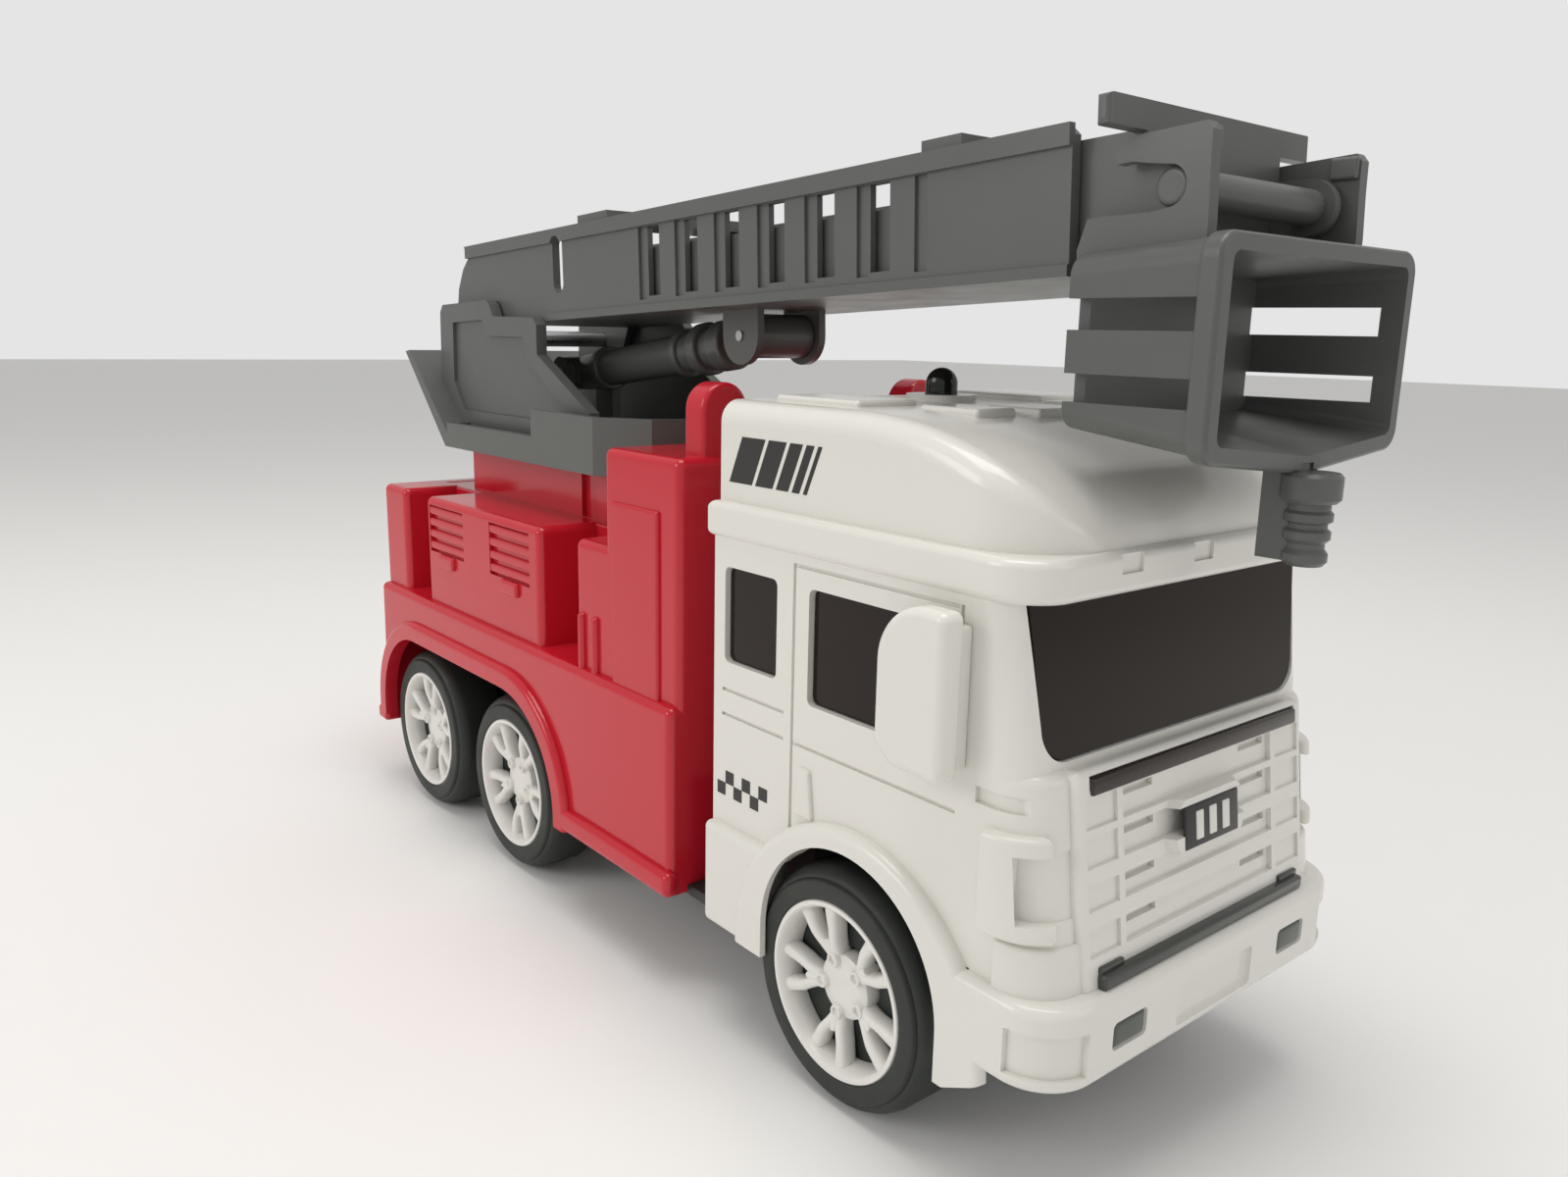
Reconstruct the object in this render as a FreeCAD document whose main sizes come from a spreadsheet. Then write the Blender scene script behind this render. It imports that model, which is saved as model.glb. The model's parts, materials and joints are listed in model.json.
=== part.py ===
import FreeCAD, Part
import math
import os
import re

# Toy fire engine with a turntable ladder and rescue basket.
# Millimetres. +X is the front of the truck, +Y its left side, +Z up, and the
# wheels stand on z = 0. The frame's origin is under the middle of the toy.

V = FreeCAD.Vector
PLASTIC_WALL = 1.8

DIMENSIONS = {
    # wheels and axles
    "tyre_radius": 20, "tyre_width": 13, "tyre_face": 37, "rim_radius": 14.7,
    "axle_radius": 1.5, "axle_gap": 0.05, "axle_height": 20, "axle_half": 33,
    "front_axle": 68, "mid_axle": -43, "rear_axle": -89.8,
    # cab
    "cab_rear": 34.6, "cab_half": 36.1, "cab_floor": 36,
    "belt_low": 88.4, "belt_top": 94.4, "belt_half": 37.1, "belt_front": 103.2,
    "roof_half": 35, "roof_top": 110.9, "roof_front": 101.6, "roof_flat_end": 64,
    "fender_half": 38, "fender_top": 38, "fender_low": 19, "bumper_low": 23.5,
    "bumper_rear": 92.2, "bumper_front": 111.6, "bumper_top": 36, "well_radius": 22.6,
    "well_centre": 69.4, "well_wall": 37.25, "arch_radius": 20, "arch_centre": 71.3, "arch_height": 24.8,
    "flare_radius": 28.2, "flare_centre": 71.5, "leg_low": 17.5,
    "sill_z": 65.8, "window_top": 83.6,
    # red body
    "body_rear": -113.6, "body_front": 23.6, "body_half": 36, "lower_half": 38,
    "skirt_low": 18.7, "ledge": 55, "deck": 80.8, "tower_rear": -1.6, "tower_top": 100,
    "chest_rear": -86.5, "chest_front": -28.3, "step_rear": -13, "post_front": -99.7,
    "pedestal_half": 20, "pedestal_rear": -94, "pedestal_top": 91.4,
    # turntable
    "swivel_x": -57, "tray_floor": 92, "tray_half": 27, "tray_lip": 98, "tray_rim": 104,
    "cheek_inner": 19, "cheek_wall": 2.6, "swivel_bore": 6,
    # ladder boom, drawn level and then tipped up about its pivot
    "pivot_x": -90, "pivot_z": 119, "boom_pitch": 2.6, "boom_low": 2.7, "boom_high": 22.4,
    "boom_half": 18.5, "boom_wall": 1.8, "boom_nose": 180.7,
    "inner_half": 16.2, "inner_wall": 1.6, "inner_tail": 70, "inner_nose": 190.6,
    "slot_first": 79.5, "slot_pitch": 12.9, "slot_width": 5, "pin_radius": 2,
    # lift cylinder
    "foot_x": -70, "foot_z": 111, "lug_x": 4.6, "lug_z": 121, "lug_inner": 7, "lug_wall": 1.6,
    "cylinder_radius": 4.3, "ram_radius": 2.4, "head_radius": 4.3, "head_bore": 3.4,
    # basket
    "hinge_x": 105.3, "hinge_z": 140.3, "rod_radius": 2.5, "basket_rear": 93.6,
    "basket_mouth": 116.8, "basket_wall": 1.8, "arm_inner": 17.5, "arm_wall": 2,
    "nozzle_x": 117.7,
    # chassis and mechanism
    "plate_low": 18, "plate_top": 20, "spine_half": 21, "plate_half": 33.6, "nose_rise": 6.3,
    "button_x": 50.7, "button_radius": 2.75, "button_top": 116.5,
    "gear_module": 0.7, "screw_radius": 1.25,
    # from the axles' own origin to the middle of the whole toy
    "frame_shift": -1.92,
}

doc = FreeCAD.newDocument("FireEngine")
sheet = doc.addObject("Spreadsheet::Sheet", "dims")
for row, (alias, value) in enumerate(DIMENSIONS.items(), start=1):
    sheet.set("A%d" % row, str(value))
    sheet.setAlias("A%d" % row, alias)
doc.recompute()

ALIAS_WORD = re.compile(r"[a-z_][a-z_0-9]*")
AXES = {"X": V(1, 0, 0), "Y": V(0, 1, 0), "Z": V(0, 0, 1)}
TURNS = {
    "X": FreeCAD.Rotation(V(0, 1, 0), 90),
    "Y": FreeCAD.Rotation(V(1, 0, 0), -90),
    "Z": FreeCAD.Rotation(),
}
PLANES = {
    "XY": FreeCAD.Rotation(),
    "XZ": FreeCAD.Rotation(V(1, 0, 0), 90),
    "YZ": FreeCAD.Rotation(V(1, 1, 1), 120),
}
NODES = []


def size(alias):
    """A driving dimension as a number, read from the sheet."""
    return float(sheet.get(alias))


def formula(text):
    """An expression in alias words, pointed at the sheet."""
    return ALIAS_WORD.sub(
        lambda word: "dims." + word.group(0) if word.group(0) in DIMENSIONS else word.group(0),
        str(text),
    )


def bind(item, **expressions):
    for name, text in expressions.items():
        item.setExpression(name.replace("__", "."), formula(text))
    return item


def place(item, x, y, z):
    return bind(item, Placement__Base__x=x, Placement__Base__y=y, Placement__Base__z=z)


def box(name, low, high):
    """A box between two corners, each three expressions."""
    item = doc.addObject("Part::Box", name)
    bind(
        item,
        Length="(%s) - (%s)" % (high[0], low[0]),
        Width="(%s) - (%s)" % (high[1], low[1]),
        Height="(%s) - (%s)" % (high[2], low[2]),
    )
    return place(item, *low)


def cylinder(name, radius, start, length, axis="Z"):
    item = doc.addObject("Part::Cylinder", name)
    item.Placement = FreeCAD.Placement(V(0, 0, 0), TURNS[axis])
    bind(item, Radius=radius, Height=length)
    return place(item, *start)


def fuse(name, items):
    item = doc.addObject("Part::MultiFuse", name)
    item.Shapes = items
    item.Refine = True
    return item


def cut(name, base, tools):
    item = doc.addObject("Part::Cut", name)
    item.Base = base
    item.Tool = tools[0] if len(tools) == 1 else fuse(name + "_tools", tools)
    item.Refine = True
    return item


def common(name, items):
    item = doc.addObject("Part::MultiCommon", name)
    item.Shapes = items
    return item


def sketch(name, outlines, plane="XY"):
    """A sketch of closed outlines; an outline is corner points, and a triple of points is an arc."""
    item = doc.addObject("Sketcher::SketchObject", name)
    item.Placement = FreeCAD.Placement(V(0, 0, 0), PLANES[plane])
    for outline in outlines:
        add_outline(item, outline)
    return item


def add_outline(item, outline):
    start = None
    last = None
    for step in outline:
        if isinstance(step, list):
            first, middle, end = [V(p[0], p[1], 0) for p in step]
            if last is not None and last.distanceToPoint(first) > 1e-6:
                item.addGeometry(Part.LineSegment(last, first))
            item.addGeometry(Part.Arc(first, middle, end))
            start = start or first
            last = end
        else:
            point = V(step[0], step[1], 0)
            if last is not None and last.distanceToPoint(point) > 1e-6:
                item.addGeometry(Part.LineSegment(last, point))
            start = start or point
            last = point
    if last.distanceToPoint(start) > 1e-6:
        item.addGeometry(Part.LineSegment(last, start))


def extrude(name, base, axis, start, end):
    item = doc.addObject("Part::Extrusion", name)
    item.Base = base
    item.DirMode = "Custom"
    item.Dir = AXES[axis]
    item.Solid = True
    return bind(item, LengthFwd=end, LengthRev="-(%s)" % start)


def revolve(name, base, axis, through):
    item = doc.addObject("Part::Revolution", name)
    item.Source = base
    item.Axis = AXES[axis]
    item.Base = through
    item.Angle = 360
    item.Solid = True
    return item


def loft(name, sections):
    item = doc.addObject("Part::Loft", name)
    item.Sections = sections
    item.Solid = True
    item.Ruled = True
    return item


def fillet(name, base, radius, chosen):
    """Round the edges of base for which chosen(edge) is true."""
    doc.recompute()
    picks = [i + 1 for i, edge in enumerate(base.Shape.Edges) if chosen(edge)]
    item = doc.addObject("Part::Fillet", name)
    item.Base = base
    item.Edges = [(i, radius, radius) for i in picks]
    return item


def soft_box(name, low, high, radius, bare="bottom"):
    """A moulded block: every edge rounded but those of its open side."""
    plain = box(name + "_block", low, high)
    doc.recompute()
    bounds = plain.Shape.BoundBox
    level = {"bottom": bounds.ZMin, "top": bounds.ZMax}.get(bare)

    def on_open_side(edge):
        return level is not None and all(abs(v.Z - level) < 1e-6 for v in edge.Vertexes)

    return fillet(name, plain, radius, lambda edge: not on_open_side(edge))


def upright(edge):
    ends = edge.Vertexes
    return len(ends) == 2 and abs(ends[0].X - ends[1].X) < 1e-6 and abs(ends[0].Y - ends[1].Y) < 1e-6


def node(name, item):
    """Finish a sub-part: label it with its file's name and move it to the frame's origin."""
    item.Label = name
    along = repr(item.Placement.Base.x)
    for path, text in item.ExpressionEngine:
        if path.endswith("Placement.Base.x"):
            along = text
    item.setExpression("Placement.Base.x", "(%s) + dims.frame_shift" % along)
    NODES.append(item)
    return item


def polar(centre, radius, degrees):
    angle = math.radians(degrees)
    return (centre[0] + radius * math.cos(angle), centre[1] + radius * math.sin(angle))


def plan_outline(rear, front, half, corner):
    """A plan view, square at the rear and with rounded front corners."""
    lean = corner * (1 - math.sqrt(0.5))
    right = [(front - corner, -half), (front - lean, -half + lean), (front, -half + corner)]
    left = [(front, half - corner), (front - lean, half - lean), (front - corner, half)]
    return [(rear, -half), right, left, (rear, half)]


# ---------------------------------------------------------------- wheels

AXLES = {"front": "front_axle", "mid": "mid_axle", "rear": "rear_axle"}
SIDES = {"right": -1, "left": 1}


def wheel_profile(points, side):
    """Points of (distance outboard from the centre line, radius) as a sketch on its side."""
    return [[(side * across, radius) for across, radius in points]]


def build_tyre(place_name, side_name, axle):
    side = SIDES[side_name]
    face = size("tyre_face")
    back = face - size("tyre_width")
    tread = size("tyre_radius")
    bead = size("rim_radius")
    points = [
        (back, bead), (back, tread - 1.6), (back + 1.6, tread), (face - 2.6, tread),
        (face - 1.2, tread - 0.9), (face - 0.4, tread - 2.4), (face, tread - 3.4), (face, bead),
    ]
    name = "tyre_%s_%s" % (place_name, side_name)
    ring = revolve(name, sketch(name + "_profile", wheel_profile(points, side), "YZ"), "Y", V(0, 0, 0))
    place(ring, axle, 0, "axle_height")
    return node(name, ring)


def build_rim(place_name, side_name, axle):
    side = SIDES[side_name]
    face = size("tyre_face")
    outer = size("rim_radius")
    bore = size("axle_radius")
    name = "rim_%s_%s" % (place_name, side_name)
    points = [
        (face - 12, bore), (face - 12, 4), (face - 5.4, 4), (face - 5.4, outer - 1.4),
        (face - 12.5, outer - 1.4), (face - 12.5, outer), (face, outer), (face - 0.2, outer - 1.2),
        (face - 1.4, outer - 1.6), (face - 2.2, 9), (face - 3.2, 5.6), (face - 3.3, 0), (face - 4, 0),
        (face - 4, bore),
    ]
    profile = sketch(name + "_profile", wheel_profile(points, side), "YZ")
    disc = revolve(name + "_disc", profile, "Y", V(0, 0, 0))
    start = min(side * (face - 8), side * (face + 1))
    windows = []
    for index in range(10):
        middle = 36 * index + 8
        foot, narrow, wide = (7.6, 4, 8) if index % 2 else (6.6, 15, 16)
        outline = [
            polar((0, 0), foot, middle - narrow), polar((0, 0), 12.4, middle - wide),
            polar((0, 0), 12.8, middle), polar((0, 0), 12.4, middle + wide),
            polar((0, 0), foot, middle + narrow),
        ]
        window_sketch = sketch("%s_window_%d" % (name, index), [outline], "XZ")
        windows.append(extrude("%s_opening_%d" % (name, index), window_sketch, "Y", start, start + 9))
    rim = cut(name + "_spoked", disc, windows)
    nuts = []
    for index in range(5):
        x, z = polar((0, 0), 4.6, 72 * index + 44)
        low = min(side * (face - 4), side * (face - 2.5))
        nuts.append(cylinder("%s_nut_%d" % (name, index), 0.9, (x, low, z), 1.5, "Y"))
    whole = fuse(name, [rim] + nuts)
    place(whole, axle, 0, "axle_height")
    return node(name, whole)


for place_name, axle in AXLES.items():
    rod = cylinder(
        place_name + "_axle", "axle_radius", (axle, "-axle_half", "axle_height"), "2 * axle_half", "Y"
    )
    node(place_name + "_axle", rod)
    for side_name in SIDES:
        build_rim(place_name, side_name, axle)
        build_tyre(place_name, side_name, axle)

# ---------------------------------------------------------------- chassis


def build_chassis():
    floor = [
        box("floor_middle", ("-17", "-plate_half", "plate_low"), ("45", "plate_half", "plate_top")),
        box("floor_rear", (-111, "-spine_half", "plate_low"), (-17, "spine_half", "plate_top")),
        box("floor_front", (45, "-spine_half", "plate_low"), (93.5, "spine_half", "plate_top")),
        box("floor_riser", (91.9, "-spine_half", "plate_low"), (94, "spine_half", "plate_top + nose_rise")),
        box(
            "floor_nose", (93.5, "-plate_half", "plate_low + nose_rise"),
            (108.4, "plate_half", "plate_top + nose_rise"),
        ),
    ]
    liners = []
    cuts = []
    wells = {"rear": ("-110.9", "-17"), "front": ("46.4", "92.4")}
    for name, (start, end) in wells.items():
        for side_name, side in SIDES.items():
            walls = sorted([side * 21.0, side * 22.4])
            roofs = sorted([side * 21.0, side * 33.6])
            label = "%s_%s" % (name, side_name)
            liners.append(box("liner_" + label, (start, walls[0], "plate_low"), (end, walls[1], 44.6)))
            top = box("arch_roof_" + label, (start, roofs[0], 43.6), (end, roofs[1], 45))
            liners.append(top)
    blocks = []
    for name, axle in AXLES.items():
        for side in SIDES.values():
            across = sorted([side * 14, side * 18])
            label = "%s_%d" % (name, side)
            blocks.append(
                box("bearing_" + label, (axle + " - 4", across[0], 17), (axle + " + 4", across[1], 24.5))
            )
        slot_edges = (("-22.5", "-18"), ("-14", "14"), ("18", "22.5"))
        for index, (low, high) in enumerate(slot_edges):
            cuts.append(
                box(
                    "axle_slot_%s_%d" % (name, index),
                    (axle + " - 2.4", low, "plate_low - 1"), (axle + " + 2.4", high, "axle_height + 2.4"),
                )
            )
        cuts.append(
            cylinder(
                "bearing_bore_" + name, "axle_radius + axle_gap", (axle, -24, "axle_height"), 48, "Y"
            )
        )
    tray = box("cell_tray", (-18.4, -8.6, "plate_low"), (20.8, 8.6, 26.6))
    cell_room = box("cell_room", (-17.1, -6.4, "plate_low - 1"), (19.5, 6.4, 25.2))
    gearbox_room = box("gearbox_room", (-56.2, -9.1, "plate_low - 1"), (-29.3, 9.1, "plate_top + 1"))
    for index, (x, y) in enumerate(BODY_SCREWS + CAB_SCREWS):
        rise = rise_at(x)
        cuts.append(cylinder("screw_hole_%d" % index, 1.5, (x, y, 17 + rise), 4))
        cuts.append(cylinder("screw_sink_%d" % index, 2.8, (x, y, 16 + rise), 2.6))
    base = fuse("chassis_solid", floor + liners + blocks + [tray])
    return node("chassis_base", cut("chassis_base", base, cuts + [cell_room, gearbox_room]))


BODY_SCREWS = [(-104, 0), (-22, 0), (19.6, 26), (19.6, -26)]
CAB_SCREWS = [(38.4, 26), (38.4, -26), (103.6, 24), (103.6, -24)]


def rise_at(x):
    """How much higher the plate lies there: its nose steps up behind the bumper."""
    return size("nose_rise") if x > 93.5 else 0


def build_screws(name, places, length):
    """Self-tapping screws driven up from below, heads sunk in the plate."""
    solids = []
    for index, (x, y) in enumerate(places):
        label = "%s_%d" % (name, index)
        low = 16.9 + rise_at(x)
        head = cylinder(label + "_head", 2.5, (x, y, low + 0.2), 1.5)
        shank = cylinder(label + "_shank", "screw_radius", (x, y, low + 1.1), length)
        slot_a = box(label + "_slot_a", (x - 1.6, y - 0.35, low), (x + 1.6, y + 0.35, low + 0.9))
        slot_b = box(label + "_slot_b", (x - 0.35, y - 1.6, low), (x + 0.35, y + 1.6, low + 0.9))
        solids.append(cut(label, fuse(label + "_body", [head, shank]), [slot_a, slot_b]))
    group = doc.addObject("Part::Compound", name)
    group.Links = solids
    return node(name, group)


def screw_bosses(name, places, top):
    """Moulded posts from a shell's ceiling down to the chassis plate."""
    posts = []
    pilots = []
    for index, (x, y) in enumerate(places):
        foot = "plate_top + %g" % (0.05 + rise_at(x))
        posts.append(cylinder("%s_post_%d" % (name, index), 3.2, (x, y, foot), top[index]))
        foot = "plate_top + %g" % (rise_at(x) - 1)
        pilots.append(cylinder("%s_pilot_%d" % (name, index), "screw_radius", (x, y, foot), 9.2))
    return posts, pilots


build_chassis()
build_screws("body_screws", BODY_SCREWS, 10)
build_screws("cab_screws", CAB_SCREWS, 10)

# ---------------------------------------------------------------- red rear body

ARCH = {"rear": -111, "front": -18, "top": 43.6, "rear_corner": 21, "front_corner": 23.4}


def arch_outline(grow, low):
    """The opening over both rear wheels, grown outwards by a margin."""
    rear = ARCH["rear"] - grow
    front = ARCH["front"] + grow
    top = ARCH["top"] + grow
    back = ARCH["rear_corner"] + grow
    fore = ARCH["front_corner"] + grow
    back_centre = (rear + back, top - back)
    fore_centre = (front - fore, top - fore)
    back_arc = [polar(back_centre, back, a) for a in (180, 135, 90)]
    fore_arc = [polar(fore_centre, fore, a) for a in (90, 45, 0)]
    return [(rear, low), back_arc, fore_arc, (front, low)]


def build_rear_body():
    r = 1.6
    skirt = size("skirt_low")
    ledge = size("ledge")
    front = size("body_front")
    rear = size("body_rear")
    lower_profile = [
        (front, skirt), (front, ledge), (rear, ledge), (rear, ledge - 2), (rear - 0.8, 24),
        (rear - 0.8, skirt),
    ]
    lower_raw = extrude(
        "lower_raw", sketch("lower_profile", [lower_profile], "XZ"), "Y", "-lower_half", "lower_half"
    )
    lower = fillet("lower_body", lower_raw, 1.6, lambda e: upright_or_top(e, ledge, 20))
    tower = soft_box("tower", ("tower_rear", "-body_half", 40), ("body_front", "body_half", "tower_top"), r)
    step = soft_box("step", ("step_rear", "-body_half", 40), (4, "body_half", "deck + 0.2"), r)
    deck = soft_box("deck_block", (-108, -22, 40), (4, 22, "deck"), 0.8)
    pedestal = soft_box(
        "pedestal", ("pedestal_rear", "-pedestal_half", 70), (4, "pedestal_half", "pedestal_top"), 1
    )
    adds = [lower, tower, step, deck, pedestal]
    cuts = []
    rear_wall = soft_box("rear_wall", ("body_rear", "-body_half", 40), (-107, "body_half", "deck + 0.2"), r)
    adds.append(rear_wall)
    for side_name, side in SIDES.items():
        inner = size("body_half") - 16
        span = sorted([side * inner, side * size("body_half")])
        post_low, post_high = ("body_rear", span[0], 40), ("post_front", span[1], "deck + 0.2")
        adds.append(soft_box("post_" + side_name, post_low, post_high, r))
        chest_low, chest_high = ("chest_rear", span[0], 40), ("chest_front", span[1], "deck")
        adds.append(soft_box("chest_" + side_name, chest_low, chest_high, r))
        add_side_details(side_name, side, adds, cuts)
    outside = fuse("body_outside", adds)
    cuts += body_hollows()
    bosses, pilots = screw_bosses("body", BODY_SCREWS, [59, 70, 34.5, 34.5])
    hollow = cut("body_hollow", outside, cuts)
    socket = cylinder("swivel_socket", "swivel_bore + 2.5", ("swivel_x", 0, 78), "pedestal_top - 78")
    whole = fuse("body_with_posts", [hollow, socket] + bosses + build_shutters())
    swivel_hole = cylinder("swivel_hole", "swivel_bore + 0.08", ("swivel_x", 0, 70), 40)
    return node("rear_body", cut("rear_body", whole, pilots + [swivel_hole]))


LOUVRES = [(-84.6, -65.6, 67.6, 79.0), (-51.8, -32.8, 67.2, 79.0)]


def build_shutters():
    """Three slats and a pull handle in each locker bay."""
    slats = []
    for side_name, side in SIDES.items():
        for index, (start, end, low_z, high_z) in enumerate(LOUVRES):
            label = "%s_%d" % (side_name, index)
            span = sorted([side * 34.4, side * 35.9])
            for row in range(4):
                low = low_z + 0.5 + row * (high_z - low_z) / 4
                near, far = (start - 0.5, span[0], low), (end + 0.5, span[1], low + 2)
                slats.append(soft_box("slat_%s_%d" % (label, row), near, far, 0.5, None))
            grip = sorted([side * 34.5, side * 36.9])
            near, far = (start + 6, grip[0], low_z - 3.2), (start + 14, grip[1], low_z)
            slats.append(soft_box("latch_" + label, near, far, 0.7, None))
    return slats


def upright_or_top(edge, top, low):
    """Edges of the lower body that show: along its top, and its corners."""
    if upright(edge):
        return True
    return all(abs(v.Z - top) < 1e-6 for v in edge.Vertexes) and edge.Vertexes[0].Z > low


def add_side_details(side_name, side, adds, cuts):
    lip_outer = size("lower_half") + 1.6
    lip_span = sorted([side * (size("lower_half") - 1.5), side * lip_outer])
    lip = sketch("lip_%s_profile" % side_name, [arch_outline(4.6, size("skirt_low"))], "XZ")
    band = extrude("lip_%s_band" % side_name, lip, "Y", lip_span[0], lip_span[1])
    adds.append(
        fillet(
            "lip_" + side_name, band, 1.4,
            lambda e: abs(e.CenterOfMass.y - side * lip_outer) < 1e-4 and e.CenterOfMass.z > 21,
        )
    )
    flange = soft_box(
        "flange_" + side_name, (ARCH["front"] + 1, lip_span[0], "skirt_low"),
        ("body_front + 1.2", lip_span[1], "skirt_low + 5"), 1.5, None,
    )
    adds.append(flange)
    flap = soft_box(
        "flap_" + side_name, (-116.8, min(side * 24, side * 39.6), 16.6),
        (-111.2, max(side * 24, side * 39.6), 20.6), 1.2, None,
    )
    adds.append(flap)
    tower_panel = soft_box(
        "tower_panel_" + side_name, (1.6, min(side * 34, side * 36.7), 40),
        (17.6, max(side * 34, side * 36.7), 90.2), 0.6,
    )
    adds.append(tower_panel)
    for index, x in enumerate((-10.4, -5.2)):
        rib = cylinder("rib_%s_%d" % (side_name, index), 1, (x, side * size("body_half"), 53), 13.4)
        doc.recompute()
        adds.append(fillet("rib_end_%s_%d" % (side_name, index), rib, 0.9, lambda e: e.CenterOfMass.z > 60))
    for index, (start, end, low_z, high_z) in enumerate(LOUVRES):
        recess = sorted([side * 35.0, side * 40])
        cuts.append(
            box("louvre_bay_%s_%d" % (side_name, index), (start, recess[0], low_z), (end, recess[1], high_z))
        )
    groove = sorted([side * 18.9, side * 24])
    cuts.append(box("groove_" + side_name, (-38, groove[0], 80.9), (-31, groove[1], 95)))
    horn_span = sorted([side * 20, side * 30])
    horn = box("horn_block_" + side_name, (16.4, horn_span[0], 92), (22.4, horn_span[1], 113))
    arched = fillet("horn_arch_" + side_name, horn, 4.9, lambda e: along_x_top(e, 113))
    adds.append(fillet("horn_" + side_name, arched, 0.9, lambda e: e.CenterOfMass.z > 98 and across_x(e)))
    opening = sketch("arch_%s" % side_name, [arch_outline(0, 10)], "XZ")
    reach = sorted([side * 20.9, side * 41])
    cuts.append(extrude("arch_cut_" + side_name, opening, "Y", reach[0], reach[1]))


def along_x_top(edge, top):
    ends = edge.Vertexes
    return all(abs(v.Z - top) < 1e-6 for v in ends) and abs(ends[0].Y - ends[1].Y) < 1e-6


def across_x(edge):
    """Edges lying in a plane square to X, which outline the horn's two faces."""
    bounds = edge.BoundBox
    return bounds.XLength < 1e-6


def body_hollows():
    """The space inside the shell, open below."""
    wall = PLASTIC_WALL
    rooms = {
        "low": ((-111.8, -36.2, 10), (21.8, 36.2, 53.2)),
        "tower": ((0.2, -34.2, 50), (21.8, 34.2, 98.2)),
        "step": ((-11.2, -34.2, 50), (5, 34.2, 79.2)),
        "deck": ((-106.2, -18.2, 50), (5, 18.2, 79)),
        "pedestal": ((-92.2, -18.2, 78), (5, 18.2, size("pedestal_top") - wall)),
        "chest_left": ((-84.7, 16, 50), (-30.1, 33.2, 79)),
        "chest_right": ((-84.7, -33.2, 50), (-30.1, -16, 79)),
    }
    boxes = [box("room_" + name, low, high) for name, (low, high) in rooms.items()]
    boxes.append(box("plate_pass", (21, -33.9, 10), ("body_front + 1", 33.9, "plate_top + 0.1")))
    return boxes


build_rear_body()

# ---------------------------------------------------------------- white cab

RAKE = 0.126
CAB_TILT = V(-RAKE, 0, 1)
CAB_STRETCH = math.sqrt(1 + RAKE * RAKE)


def raked_block(name, front, half, corner, low, high):
    """The upper cab: its front leans back; front is the windscreen's foot at z = 64."""
    outline = plan_outline(0, front + 64 * RAKE, half, corner)
    plan = sketch(name + "_plan", [outline])
    leaning = extrude(name + "_leaning", plan, "Z", low * CAB_STRETCH, high * CAB_STRETCH)
    leaning.Dir = CAB_TILT
    return leaning


def plan_block(name, rear, front, half, corner, low, high):
    return extrude(name, sketch(name + "_plan", [plan_outline(rear, front, half, corner)]), "Z", low, high)


def roof_block(name, inset, low):
    """The wind deflector: flat on top, falling to the belt in a quarter ellipse."""
    rear = size("cab_rear") + inset
    flat_end = size("roof_flat_end")
    front = size("roof_front") - inset
    top = size("roof_top") - inset
    base = 94.4
    profile = doc.addObject("Sketcher::SketchObject", name + "_profile")
    profile.Placement = FreeCAD.Placement(V(0, 0, 0), PLANES["XZ"])
    ellipse = Part.Ellipse(V(front, base, 0), V(flat_end, top, 0), V(flat_end, base, 0))
    profile.addGeometry(Part.ArcOfEllipse(ellipse, 0, math.pi / 2))
    corners = [V(flat_end, top, 0), V(rear, top, 0), V(rear, low, 0), V(front, low, 0), V(front, base, 0)]
    for start, end in zip(corners, corners[1:]):
        profile.addGeometry(Part.LineSegment(start, end))
    half = size("roof_half") - inset
    slab = extrude(name + "_slab", profile, "Y", -half, half)
    plan = plan_block(name + "_column", rear, front, half, 13 - inset, low, top + 1)
    return common(name, [slab, plan])


SIDE_LIGHTS = {"rear_light": (37.6, 51.4, 67.2), "door_light": (59.2, 86, 65)}


def side_window(name, light, side, inset, far):
    """A side window's block from inside the wall out to far, drawn in by an inset all round."""
    low_x, high_x, low_z = SIDE_LIGHTS[light]
    low_x, high_x, low_z = low_x + inset, high_x - inset, low_z + inset
    high_z = "window_top - %g" % inset
    span = sorted([side * 33, side * far])
    block = box(name + "_block", (low_x, span[0], low_z), (high_x, span[1], high_z))
    return fillet(name, block, 1.2, lambda e: e.BoundBox.YLength > 1)


def windscreen_outline(inset):
    """Seen from the front: wide at the top, lower corners rounded."""
    top, foot, half_top, half_foot = 88.2 - inset, 66.6 + inset, 33.4 - inset, 32.0 - inset
    corner = 5
    lean = corner * 0.29
    left = [(-half_foot, foot + corner), (-half_foot + lean, foot + lean), (-half_foot + corner, foot)]
    right = [(half_foot - corner, foot), (half_foot - lean, foot + lean), (half_foot, foot + corner)]
    return [(-half_top, top), left, right, (half_top, top)]


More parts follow.
